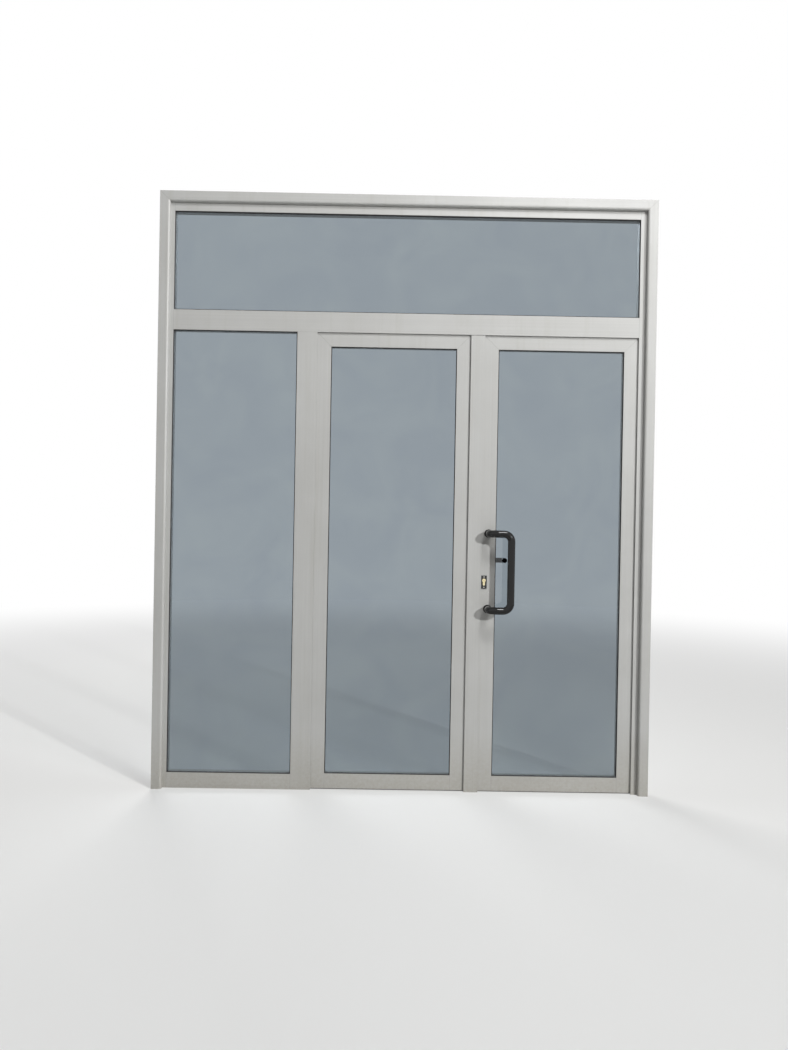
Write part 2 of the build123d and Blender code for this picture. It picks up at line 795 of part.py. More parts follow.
LOCK_EDGE = ACTIVE.free_edge
SPINDLE_X = LOCK_EDGE + BACKSET
CASE_FRONT = LOCK_EDGE + FACEPLATE_THICK
CASE_BACK = SPINDLE_X + CASE_PAST_SPINDLE
LATCH_TIP = LOCK_EDGE - LATCH_OUT
EURO_TOP = CYLINDER_HEIGHT + EURO_RADIUS
EURO_BOTTOM = EURO_TOP - EURO_HEIGHT
PLATE_MIDDLE = (EURO_TOP + EURO_BOTTOM) / 2
PLATE_SCREW_HEIGHTS = (
    EURO_BOTTOM - PLATE_SCREW_PAST_CYLINDER,
    EURO_TOP + PLATE_SCREW_PAST_CYLINDER,
)
CYLINDER_FRONT = LEAF_SETBACK - CYLINDER_PROUD
CYLINDER_BACK = FRAME_DEPTH + CYLINDER_PROUD


def around(middle, size, clearance=0.0):
    """Pair of limits for a size centred on a middle, with a clearance at each end."""
    return middle - size / 2 - clearance, middle + size / 2 + clearance


def euro_profile(clearance):
    """Outline of the lock cylinder: a round head with a narrow web below it."""
    with BuildSketch(facade(0)) as outline:
        with Locations((SPINDLE_X, CYLINDER_HEIGHT)):
            Circle(EURO_RADIUS + clearance)
        web_end = EURO_BOTTOM + EURO_WEB / 2
        with Locations((SPINDLE_X, (CYLINDER_HEIGHT + web_end) / 2)):
            Rectangle(EURO_WEB + 2 * clearance, CYLINDER_HEIGHT - web_end)
        with Locations((SPINDLE_X, web_end)):
            Circle(EURO_WEB / 2 + clearance)
    return outline.sketch


def cut_for_cylinder():
    """Opening for the lock cylinder through whatever is being built."""
    extrude(euro_profile(EURO_CLEARANCE), amount=THROUGH, both=True, mode=Mode.SUBTRACT)


with BuildPart() as active_lock_stile:
    add(leaf_stile(LOCK_EDGE, ACTIVE.light.left).part)
    block(
        (LOCK_EDGE, LOCK_EDGE + LEAF_WALL),
        around(LEAF_MIDDLE, FACEPLATE_WIDTH),
        (FACEPLATE_BOTTOM, FACEPLATE_TOP),
        Mode.SUBTRACT,
    )
    cut_for_cylinder()
    drill(
        (SPINDLE_X, SPINDLE_HEIGHT),
        SPINDLE_HOLE_RADIUS,
        "Y",
        (FRAME_DEPTH - LEAF_WALL, FRAME_DEPTH),
    )
    for height in PLATE_SCREW_HEIGHTS:
        drill(
            (SPINDLE_X, height), SCREW_RADIUS + SCREW_CLEARANCE, "Y", (LEAF_SETBACK, FRAME_DEPTH)
        )
keep(active_lock_stile, "active_lock_stile")

LATCH_DEPTHS = around(LEAF_MIDDLE, LATCH_THICK)
LATCH_HEIGHTS = around(LATCH_LEVEL, LATCH_HEIGHT)
LATCH_WINDOW = (
    around(LEAF_MIDDLE, LATCH_THICK, BOLT_CLEARANCE),
    around(LATCH_LEVEL, LATCH_HEIGHT, BOLT_CLEARANCE),
)
DEAD_BOLT_WINDOW = (
    around(LEAF_MIDDLE, LATCH_THICK, BOLT_CLEARANCE),
    around(DEAD_BOLT_LEVEL, DEAD_BOLT_HEIGHT, BOLT_CLEARANCE),
)

with BuildPart() as lock_faceplate:
    block(
        (LOCK_EDGE, CASE_FRONT),
        around(LEAF_MIDDLE, FACEPLATE_WIDTH),
        (FACEPLATE_BOTTOM, FACEPLATE_TOP),
    )
    block((LOCK_EDGE, CASE_FRONT), *LATCH_WINDOW, Mode.SUBTRACT)
    block((LOCK_EDGE, CASE_FRONT), *DEAD_BOLT_WINDOW, Mode.SUBTRACT)
keep(lock_faceplate, "lock_faceplate")

with BuildPart() as lock_case:
    block((CASE_FRONT, CASE_BACK), around(LEAF_MIDDLE, CASE_THICK), (CASE_BOTTOM, CASE_TOP))
    block(
        (CASE_FRONT, CASE_BACK - CASE_WALL),
        around(LEAF_MIDDLE, CASE_THICK - 2 * CASE_WALL),
        (CASE_BOTTOM + CASE_WALL, CASE_TOP - CASE_WALL),
        Mode.SUBTRACT,
    )
    cut_for_cylinder()
    drill(
        (SPINDLE_X, SPINDLE_HEIGHT),
        SPINDLE_HOLE_RADIUS,
        "Y",
        around(LEAF_MIDDLE, CASE_THICK),
    )
keep(lock_case, "lock_case")

# The nose slopes on its outside, where it meets the strike as the leaf closes
with BuildPart() as latch:
    with BuildSketch(Plane.XY.offset(LATCH_HEIGHTS[0])):
        with BuildLine():
            front, back = (at_depth(depth) for depth in LATCH_DEPTHS)
            Polyline(
                (LOCK_EDGE + LATCH_HEAD, front),
                (LOCK_EDGE, front),
                (LATCH_TIP, back - LATCH_NOSE),
                (LATCH_TIP, back),
                (LOCK_EDGE + LATCH_HEAD, back),
                close=True,
            )
        make_face()
    extrude(amount=LATCH_HEIGHT)
    notch_top = SPINDLE_HEIGHT + HUB_ARM + HUB_NOTCH_ABOVE
    block(
        (LOCK_EDGE + LATCH_HEAD, SPINDLE_X + LATCH_TAIL_PAST_SPINDLE),
        around(LEAF_MIDDLE, LATCH_TAIL_THICK),
        (LATCH_HEIGHTS[0], LATCH_LEVEL + LATCH_TAIL_ABOVE),
    )
    block(
        around(SPINDLE_X, 2 * HUB_NOTCH_HALF),
        around(LEAF_MIDDLE, LATCH_THICK),
        (LATCH_HEIGHTS[0], notch_top),
        Mode.SUBTRACT,
    )
keep(latch, "latch")

with BuildPart() as dead_bolt:
    block(
        (LOCK_EDGE, LOCK_EDGE + DEAD_BOLT_THROW + DEAD_BOLT_HELD),
        around(LEAF_MIDDLE, LATCH_THICK),
        around(DEAD_BOLT_LEVEL, DEAD_BOLT_HEIGHT),
    )
keep(dead_bolt, "dead_bolt")

with BuildPart() as lock_hub:
    with BuildSketch(facade(LEAF_MIDDLE + CAM_THICK / 2)):
        with Locations((SPINDLE_X, SPINDLE_HEIGHT)):
            Circle(HUB_RADIUS)
        with Locations((SPINDLE_X, SPINDLE_HEIGHT + HUB_ARM / 2)):
            Rectangle(2 * HUB_ARM_HALF, HUB_ARM)
        with Locations((SPINDLE_X, SPINDLE_HEIGHT)):
            Rectangle(
                SPINDLE_SIDE + SPINDLE_FIT, SPINDLE_SIDE + SPINDLE_FIT, mode=Mode.SUBTRACT
            )
    extrude(amount=CAM_THICK)
keep(lock_hub, "lock_hub")

# Lock cylinder, its plug with the cam and the inside thumb turn

with BuildPart() as cylinder_body:
    extrude(euro_profile(0), amount=-CYLINDER_BACK)
    block(
        around(SPINDLE_X, 2 * EURO_RADIUS),
        (0, CYLINDER_FRONT),
        (EURO_BOTTOM, EURO_TOP),
        Mode.SUBTRACT,
    )
    drill(
        (SPINDLE_X, CYLINDER_HEIGHT),
        PLUG_RADIUS + PLUG_CLEARANCE,
        "Y",
        (CYLINDER_FRONT, CYLINDER_BACK),
    )
    block(
        around(SPINDLE_X, 2 * EURO_RADIUS),
        around(LEAF_MIDDLE, CAM_THICK, CAM_SIDE_CLEARANCE),
        (EURO_BOTTOM + CAM_BRIDGE, EURO_TOP),
        Mode.SUBTRACT,
    )
keep(cylinder_body, "cylinder_body")

with BuildPart() as cylinder_plug:
    with BuildSketch(facade(CYLINDER_FRONT - PLUG_PROUD)):
        with Locations((SPINDLE_X, CYLINDER_HEIGHT)):
            Circle(PLUG_RADIUS)
    extrude(amount=CYLINDER_FRONT - CYLINDER_BACK - 2 * PLUG_PROUD)
    block(
        around(SPINDLE_X, CAM_WIDTH),
        around(LEAF_MIDDLE, CAM_THICK),
        (CYLINDER_HEIGHT - CAM_RADIUS, CYLINDER_HEIGHT),
    )
    block(
        around(SPINDLE_X, KEYWAY_WIDTH),
        (CYLINDER_FRONT - PLUG_PROUD, CYLINDER_FRONT + KEYWAY_DEPTH),
        around(CYLINDER_HEIGHT, KEYWAY_HEIGHT),
        Mode.SUBTRACT,
    )
    with BuildSketch(facade(CYLINDER_BACK + PLUG_PROUD)):
        with Locations((SPINDLE_X, CYLINDER_HEIGHT)):
            SlotOverall(TURN_LENGTH, TURN_THICK)
    extrude(amount=-TURN_OUT)
keep(cylinder_plug, "cylinder_plug")

with BuildPart() as cylinder_plates:
    for depth in (LEAF_SETBACK - PLATE_THICK, FRAME_DEPTH):
        with BuildSketch(facade(depth)):
            with Locations((SPINDLE_X, PLATE_MIDDLE)):
                plate_height = EURO_HEIGHT + 2 * PLATE_PAST_CYLINDER
                RectangleRounded(PLATE_WIDTH, plate_height, PLATE_ROUND)
            for height in PLATE_SCREW_HEIGHTS:
                with Locations((SPINDLE_X, height)):
                    Circle(SCREW_RADIUS + SCREW_CLEARANCE, mode=Mode.SUBTRACT)
        extrude(amount=-PLATE_THICK)
    cut_for_cylinder()
keep(cylinder_plates, "cylinder_plates")

with BuildPart() as plate_screws:
    for face, outward in ((LEAF_SETBACK - PLATE_THICK, -1), (FRAME_DEPTH + PLATE_THICK, 1)):
        head = sorted((face, face + outward * SCREW_HEAD_THICK))
        shank = sorted((face, face - outward * 2 * PLATE_THICK))
        for height in PLATE_SCREW_HEIGHTS:
            for (front, back), radius in ((head, SCREW_HEAD_RADIUS), (shank, SCREW_RADIUS)):
                with BuildSketch(facade(front)):
                    with Locations((SPINDLE_X, height)):
                        Circle(radius)
                extrude(amount=front - back)
keep(plate_screws, "plate_screws")

# Inside lever and its rose

with BuildPart() as lever_rose:
    with BuildSketch(facade(FRAME_DEPTH)):
        with Locations((SPINDLE_X, SPINDLE_HEIGHT)):
            Circle(ROSE_RADIUS)
            Circle(LEVER_RADIUS + LEVER_CLEARANCE, mode=Mode.SUBTRACT)
    extrude(amount=-ROSE_THICK)
    rim = lever_rose.faces().sort_by(Axis.Y)[-1].outer_wire()
    fillet(rim.edges(), ROSE_EDGE)
keep(lever_rose, "lever_rose")

LEVER_END_X = SPINDLE_X + LEVER_LENGTH - LEVER_RADIUS
LEVER_GRIP_Y = at_depth(FRAME_DEPTH + LEVER_OUT + LEVER_RADIUS)

with BuildPart() as lever:
    with BuildLine() as bar:
        FilletPolyline(
            (SPINDLE_X, at_depth(FRAME_DEPTH + LEVER_CLEARANCE), SPINDLE_HEIGHT),
            (SPINDLE_X, LEVER_GRIP_Y, SPINDLE_HEIGHT),
            (LEVER_END_X, LEVER_GRIP_Y, SPINDLE_HEIGHT),
            (LEVER_END_X, at_depth(FRAME_DEPTH + LEVER_RETURN_GAP), SPINDLE_HEIGHT),
            radius=LEVER_BEND,
        )
    with BuildSketch(Plane(origin=bar.line @ 0, z_dir=bar.line % 0)):
        Circle(LEVER_RADIUS)
    sweep()
    return_end = lever.faces().filter_by(Axis.Y).sort_by(Axis.Y)[-1]
    fillet(return_end.edges(), LEVER_END_ROUND)
    block(
        around(SPINDLE_X, SPINDLE_SIDE),
        (LEAF_MIDDLE - CAM_THICK / 2, FRAME_DEPTH + LEVER_CLEARANCE),
        around(SPINDLE_HEIGHT, SPINDLE_SIDE),
    )
keep(lever, "lever")

# Pull handle: out from the leaf, aside over the glass and down to the lower foot

FOOT_X = (ACTIVE.free_sight + ACTIVE.light.left) / 2
GRIP_X = FOOT_X + HANDLE_ASIDE
GRIP_Y = at_depth(LEAF_SETBACK - HANDLE_OUT)
FOOT_HEIGHTS = around(HANDLE_MIDDLE, HANDLE_SPAN)

with BuildPart() as pull_handle:
    with BuildLine() as run:
        low, high = FOOT_HEIGHTS
        FilletPolyline(
            (FOOT_X, at_depth(LEAF_SETBACK), high),
            (FOOT_X, GRIP_Y, high),
            (GRIP_X, GRIP_Y, high),
            (GRIP_X, GRIP_Y, low),
            (FOOT_X, GRIP_Y, low),
            (FOOT_X, at_depth(LEAF_SETBACK), low),
            radius=HANDLE_BEND,
        )
    with BuildSketch(Plane(origin=run.line @ 0, z_dir=run.line % 0)):
        Circle(TUBE_RADIUS)
        Circle(TUBE_RADIUS - TUBE_WALL, mode=Mode.SUBTRACT)
    sweep()
keep(pull_handle, "pull_handle")

with BuildPart() as handle_collars:
    with BuildSketch(facade(LEAF_SETBACK)):
        for height in FOOT_HEIGHTS:
            with Locations((FOOT_X, height)):
                Circle(COLLAR_RADIUS)
                Circle(TUBE_RADIUS + COLLAR_CLEARANCE, mode=Mode.SUBTRACT)
    extrude(amount=COLLAR_THICK)
    fronts = handle_collars.faces().group_by(Axis.Y)[0]
    chamfer([edge for face in fronts for edge in face.outer_wire().edges()], COLLAR_EDGE)
keep(handle_collars, "handle_collars")

# Strike: plate and body in the centre post, and a keeper that swings clear of the latch's way

POST_SIDE = POST_RIGHT - FIN
PLATE_BACK = POST_SIDE - FRAME_WALL
KEEPER_X = LATCH_TIP - KEEPER_PAST_LATCH
KEEPER_DEPTH = LATCH_DEPTHS[1] + KEEPER_BEHIND_LATCH + KEEPER_HALF
KEEPER_HEIGHT = LATCH_HEIGHT + 2 * KEEPER_OVER_LATCH
STRIKE_PLATE_HEIGHTS = (
    DEAD_BOLT_LEVEL - STRIKE_PLATE_BELOW_BOLT,
    LATCH_LEVEL + STRIKE_PLATE_ABOVE_LATCH,
)


def cut_latch_way(back):
    """Slot for the latch to leave by, and the room that the keeper swings in."""
    block(
        (LATCH_TIP - LATCH_TIP_CLEARANCE, POST_SIDE),
        (LATCH_WINDOW[0][0], back),
        LATCH_WINDOW[1],
        Mode.SUBTRACT,
    )
    block(
        (KEEPER_X - KEEPER_HALF - KEEPER_SPACE, POST_SIDE),
        (KEEPER_DEPTH - KEEPER_HALF - KEEPER_SPACE, back),
        around(LATCH_LEVEL, KEEPER_HEIGHT, KEEPER_SPACE),
        Mode.SUBTRACT,
    )


with BuildPart() as centre_post:
    add(upright_bar(POST_LEFT, POST_RIGHT, POST_JOINT).part)
    block(
        (PLATE_BACK, POST_SIDE),
        around(LEAF_MIDDLE, FACEPLATE_WIDTH),
        STRIKE_PLATE_HEIGHTS,
        Mode.SUBTRACT,
    )
    cut_latch_way(FRAME_DEPTH)
keep(centre_post, "centre_post")

with BuildPart() as strike_plate:
    block(
        (PLATE_BACK, POST_SIDE), around(LEAF_MIDDLE, FACEPLATE_WIDTH), STRIKE_PLATE_HEIGHTS
    )
    block((PLATE_BACK, POST_SIDE), *DEAD_BOLT_WINDOW, Mode.SUBTRACT)
    cut_latch_way(FRAME_DEPTH)
keep(strike_plate, "strike_plate")

with BuildPart() as strike_body:
    block(
        (POST_LEFT + FIN + FRAME_WALL + STRIKE_SIDE_GAP, PLATE_BACK),
        (STRIKE_BODY_FRONT, FRAME_DEPTH - FRAME_WALL),
        around(LATCH_LEVEL, 2 * STRIKE_BODY_HALF),
    )
    cut_latch_way(FRAME_DEPTH)
    drill(
        (KEEPER_X, KEEPER_DEPTH),
        KEEPER_PIN_RADIUS + PIN_CLEARANCE,
        "Z",
        around(LATCH_LEVEL, KEEPER_HEIGHT, KEEPER_PIN_LENGTH + KEEPER_SPACE),
    )
keep(strike_body, "strike_body")

# The keeper is built released, with its jaw pointing into the building
with BuildPart() as strike_keeper:
    with BuildSketch(Plane.XY.offset(LATCH_LEVEL - KEEPER_HEIGHT / 2)):
        with Locations((KEEPER_X, at_depth(KEEPER_DEPTH))):
            Circle(KEEPER_HALF)
        section(around(KEEPER_X, 2 * KEEPER_HALF), (KEEPER_DEPTH, KEEPER_DEPTH + KEEPER_REACH))
    extrude(amount=KEEPER_HEIGHT)
    with Locations((KEEPER_X, at_depth(KEEPER_DEPTH), LATCH_LEVEL)):
        Cylinder(KEEPER_PIN_RADIUS, KEEPER_HEIGHT + 2 * KEEPER_PIN_LENGTH)
keep(strike_keeper, "strike_keeper")

# Flush bolts of the passive leaf, drawn back

UPPER_HOUSING = LEAF_TOP - HOUSING_FROM_END
LOWER_HOUSING = LEAF_BOTTOM + HOUSING_FROM_END

with BuildPart() as passive_free_stile:
    add(leaf_stile(PASSIVE.free_edge, PASSIVE.light.right).part)
    for height in (UPPER_HOUSING, LOWER_HOUSING):
        block(
            (PASSIVE.free_edge - LEAF_WALL, PASSIVE.free_edge),
            around(LEAF_MIDDLE, HOUSING_WIDTH),
            around(height, 2 * HOUSING_HALF),
            Mode.SUBTRACT,
        )
keep(passive_free_stile, "passive_free_stile")

with BuildPart() as passive_top_rail:
    add(leaf_top_rail(PASSIVE).part)
    drill(
        (ROD_X, LEAF_MIDDLE), ROD_RADIUS + ROD_CLEARANCE, "Z", (LEAF_TOP - LEAF_WALL, LEAF_TOP)
    )
keep(passive_top_rail, "passive_top_rail")

with BuildPart() as flush_bolt_housings:
    for height in (UPPER_HOUSING, LOWER_HOUSING):
        block(
            (PASSIVE.free_edge - LEAF_WALL, PASSIVE.free_edge),
            around(LEAF_MIDDLE, HOUSING_WIDTH),
            around(height, 2 * HOUSING_HALF),
        )
        body_heights = around(height, 2 * HOUSING_HALF - 2 * LEAF_WALL)
        block(
            (PASSIVE.free_edge - HOUSING_BODY_IN, PASSIVE.free_edge - LEAF_WALL),
            around(LEAF_MIDDLE, HOUSING_BODY_WIDTH),
            body_heights,
        )
        block(
            (ROD_X, PASSIVE.free_edge),
            around(LEAF_MIDDLE, KNOB_WIDTH, KNOB_CLEARANCE),
            around(height, BOLT_TRAVEL + KNOB_HEIGHT, KNOB_CLEARANCE),
            Mode.SUBTRACT,
        )
        drill((ROD_X, LEAF_MIDDLE), ROD_RADIUS + ROD_CLEARANCE, "Z", body_heights)
keep(flush_bolt_housings, "flush_bolt_housings")


def flush_bolt(rod_ends, knob_height):
    """Round rod with the thumb knob that slides it."""
    low, high = sorted(rod_ends)
    with BuildPart() as bolt:
        with BuildSketch(Plane.XY.offset(low)):
            with Locations((ROD_X, at_depth(LEAF_MIDDLE))):
                Circle(ROD_RADIUS)
        extrude(amount=high - low)
        block(
            (ROD_X, PASSIVE.free_edge - KNOB_CLEARANCE),
            around(LEAF_MIDDLE, KNOB_WIDTH),
            around(knob_height, KNOB_HEIGHT),
        )
    return bolt


ROD_PAST_KNOB = HOUSING_HALF / 2
top_flush_bolt = flush_bolt(
    (UPPER_HOUSING - ROD_PAST_KNOB, LEAF_TOP - ROD_END_GAP), UPPER_HOUSING - BOLT_TRAVEL / 2
)
keep(top_flush_bolt, "top_flush_bolt")

bottom_flush_bolt = flush_bolt(
    (LOWER_HOUSING + ROD_PAST_KNOB, LEAF_BOTTOM + ROD_END_GAP), LOWER_HOUSING + BOLT_TRAVEL / 2
)
keep(bottom_flush_bolt, "bottom_flush_bolt")
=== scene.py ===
from math import atan2, hypot, pi

import bpy
from mathutils import Matrix, Vector


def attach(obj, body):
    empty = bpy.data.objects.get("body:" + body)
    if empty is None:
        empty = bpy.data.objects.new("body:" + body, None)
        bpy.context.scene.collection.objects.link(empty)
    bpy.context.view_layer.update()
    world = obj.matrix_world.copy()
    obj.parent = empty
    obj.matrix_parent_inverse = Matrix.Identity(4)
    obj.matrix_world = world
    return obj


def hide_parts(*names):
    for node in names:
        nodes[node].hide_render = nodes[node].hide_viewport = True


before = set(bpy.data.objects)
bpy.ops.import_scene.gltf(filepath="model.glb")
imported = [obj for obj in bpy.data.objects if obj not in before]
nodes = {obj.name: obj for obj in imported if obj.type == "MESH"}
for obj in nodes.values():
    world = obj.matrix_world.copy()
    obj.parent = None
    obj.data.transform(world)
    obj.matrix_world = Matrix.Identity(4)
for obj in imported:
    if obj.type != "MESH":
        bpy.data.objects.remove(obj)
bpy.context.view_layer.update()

# Camera
# Held at chest height and tipped down by a third of a degree, a little under four metres in front
# of the glass, with the small lean to one side of a hand-held picture.
IMAGE_WIDTH = 788
FOCAL_PIXELS = 789.0
CAMERA_PLACE = (-0.0694, -3.7194, 1.27)
CAMERA_YAW, CAMERA_TILT, CAMERA_LEAN = -0.0058, -0.005, 0.0176
camera_data = bpy.data.cameras.new("camera")
camera_data.sensor_fit = "HORIZONTAL"
camera_data.sensor_width = 36.0
camera_data.lens = camera_data.sensor_width * FOCAL_PIXELS / IMAGE_WIDTH
camera_data.clip_end = 200.0
camera = bpy.data.objects.new("camera", camera_data)
bpy.context.scene.collection.objects.link(camera)
turn = Matrix.Rotation(CAMERA_YAW, 4, "Z") @ Matrix.Rotation(pi / 2 + CAMERA_TILT, 4, "X")
camera.matrix_world = (
    Matrix.Translation(CAMERA_PLACE) @ turn @ Matrix.Rotation(CAMERA_LEAN, 4, "Z")
)
bpy.context.scene.camera = camera
bpy.context.scene.view_settings.view_transform = "Standard"


# Studio
# A white surround with a low fill, a small disc lamp far off at the right that draws the slanting
# shadow of the pull handle, and two soft boxes, high in front for the bars' tops and high behind.
def linear(colour):
    """Linear red, green, blue and alpha of an sRGB hex colour."""
    parts = [int(colour[i : i + 2], 16) / 255 for i in (1, 3, 5)]
    return [c / 12.92 if c <= 0.04045 else ((c + 0.055) / 1.055) ** 2.4 for c in parts] + [1.0]


def put(tree, kind, links=None, **settings):
    """Add a node with its settings; links gives a socket a value or another node's output."""
    node = tree.nodes.new(kind)
    for name, value in settings.items():
        setattr(node, name, value)
    for socket, value in (links or {}).items():
        if isinstance(value, bpy.types.NodeSocket):
            tree.links.new(value, node.inputs[socket])
        else:
            node.inputs[socket].default_value = value
    return node


def looked_at(tree):
    """One for rays that show the background: from the camera, off gloss and through glass."""
    rays = put(tree, "ShaderNodeLightPath").outputs
    direct = put(
        tree,
        "ShaderNodeMath",
        {0: rays["Is Camera Ray"], 1: rays["Is Glossy Ray"]},
        operation="MAXIMUM",
    )
    either = put(
        tree,
        "ShaderNodeMath",
        {0: direct.outputs[0], 1: rays["Is Transmission Ray"]},
        operation="MAXIMUM",
    )
    return either.outputs[0]


FILL_STRENGTH = 0.05
world = bpy.data.worlds.new("studio")
bpy.context.scene.world = world
world.use_nodes = True
air = world.node_tree
air.nodes.clear()
fill = put(air, "ShaderNodeBackground", {"Color": linear("#FFFFFF"), "Strength": FILL_STRENGTH})
white = put(air, "ShaderNodeBackground", {"Color": linear("#FFFFFF"), "Strength": 1.0})
both = put(
    air, "ShaderNodeMixShader", {0: looked_at(air), 1: fill.outputs[0], 2: white.outputs[0]}
)
put(air, "ShaderNodeOutputWorld", {"Surface": both.outputs[0]})


def lamp(name, place, aim, watts, width, height, shape):
    """Area lamp at a place, facing its aim, unseen by the camera and through the glass."""
    light = bpy.data.lights.new(name, "AREA")
    light.shape = shape
    light.size = width
    light.size_y = height
    light.energy = watts
    holder = bpy.data.objects.new(name, light)
    bpy.context.scene.collection.objects.link(holder)
    holder.location = place
    holder.rotation_euler = (Vector(place) - Vector(aim)).to_track_quat("Z", "Y").to_euler()
    holder.visible_camera = False
    holder.visible_transmission = False


lamp(
    "low_lamp",
    place=(8.7, -9.99, 5.2),
    aim=(0.45, -0.09, 1.04),
    watts=1290,
    width=0.3,
    height=0.3,
    shape="DISK",
)
lamp(
    "top_box",
    place=(1.5, -2.6, 4.9),
    aim=(-0.1, 0, 2.3),
    watts=120,
    width=1.4,
    height=1.0,
    shape="RECTANGLE",
)
lamp(
    "rear_box",
    place=(-1.6, 4.0, 4.4),
    aim=(0, 0, 1.2),
    watts=210,
    width=2.4,
    height=1.6,
    shape="RECTANGLE",
)

FLOOR_SIZE = 120
FADE_START, FADE_END, FADE_FROM = 2.0, 9.0, 0.35
bpy.ops.object.select_all(action="DESELECT")
bpy.ops.mesh.primitive_plane_add(size=FLOOR_SIZE, location=(0, 0, 0))
floor = bpy.context.object
floor.name = "floor"
paper = bpy.data.materials.new("pale_floor")
paper.use_nodes = True
tree = paper.node_tree
tree.nodes.clear()
matt = put(tree, "ShaderNodeBsdfDiffuse", {"Color": linear("#DADAD8")})
glow = put(tree, "ShaderNodeEmission", {"Color": linear("#FFFFFF"), "Strength": 1.0})
# The paper goes over to the white surround between 2 and 9 m from the door
away = put(
    tree,
    "ShaderNodeVectorMath",
    {0: put(tree, "ShaderNodeTexCoord").outputs["Object"]},
    operation="LENGTH",
)
faded = put(
    tree,
    "ShaderNodeMapRange",
    {
        "Value": away.outputs["Value"],
        "From Min": FADE_START,
        "From Max": FADE_END,
        "To Min": FADE_FROM,
        "To Max": 1.0,
    },
    interpolation_type="SMOOTHSTEP",
)
share = put(
    tree, "ShaderNodeMath", {0: looked_at(tree), 1: faded.outputs[0]}, operation="MULTIPLY"
)
mixed = put(
    tree, "ShaderNodeMixShader", {0: share.outputs[0], 1: matt.outputs[0], 2: glow.outputs[0]}
)
put(tree, "ShaderNodeOutputMaterial", {"Surface": mixed.outputs[0]})
floor.data.materials.append(paper)

# Frame bars, covers, leaf profiles and beads
# Extruded aluminium with a pale grey powder coat baked on. The coat is satin, with a fine sparkle,
# a slight orange peel, faint lines along each extrusion, and dust low down.
LINE_SPACING, LINE_SQUEEZE = 0.005, 0.004
CLOUD_SIZE = 0.35
STREAK_WIDTH, STREAK_SQUEEZE = 0.025, 0.03
SPLASH_HEIGHT, SPLASH_SHARE, SPOT_SIZE = 0.3, 0.8, 0.012
FLAKE_SIZE = 0.0012
ARRIS_RADIUS = 0.0012
COAT_RELIEF = 0.0003


def blank(name):
    """New material with its node tree, its shader and its Object coordinates."""
    material = bpy.data.materials.new(name)
    material.use_nodes = True
    tree = material.node_tree
    place = put(tree, "ShaderNodeTexCoord").outputs["Object"]
    return material, tree, tree.nodes["Principled BSDF"], place


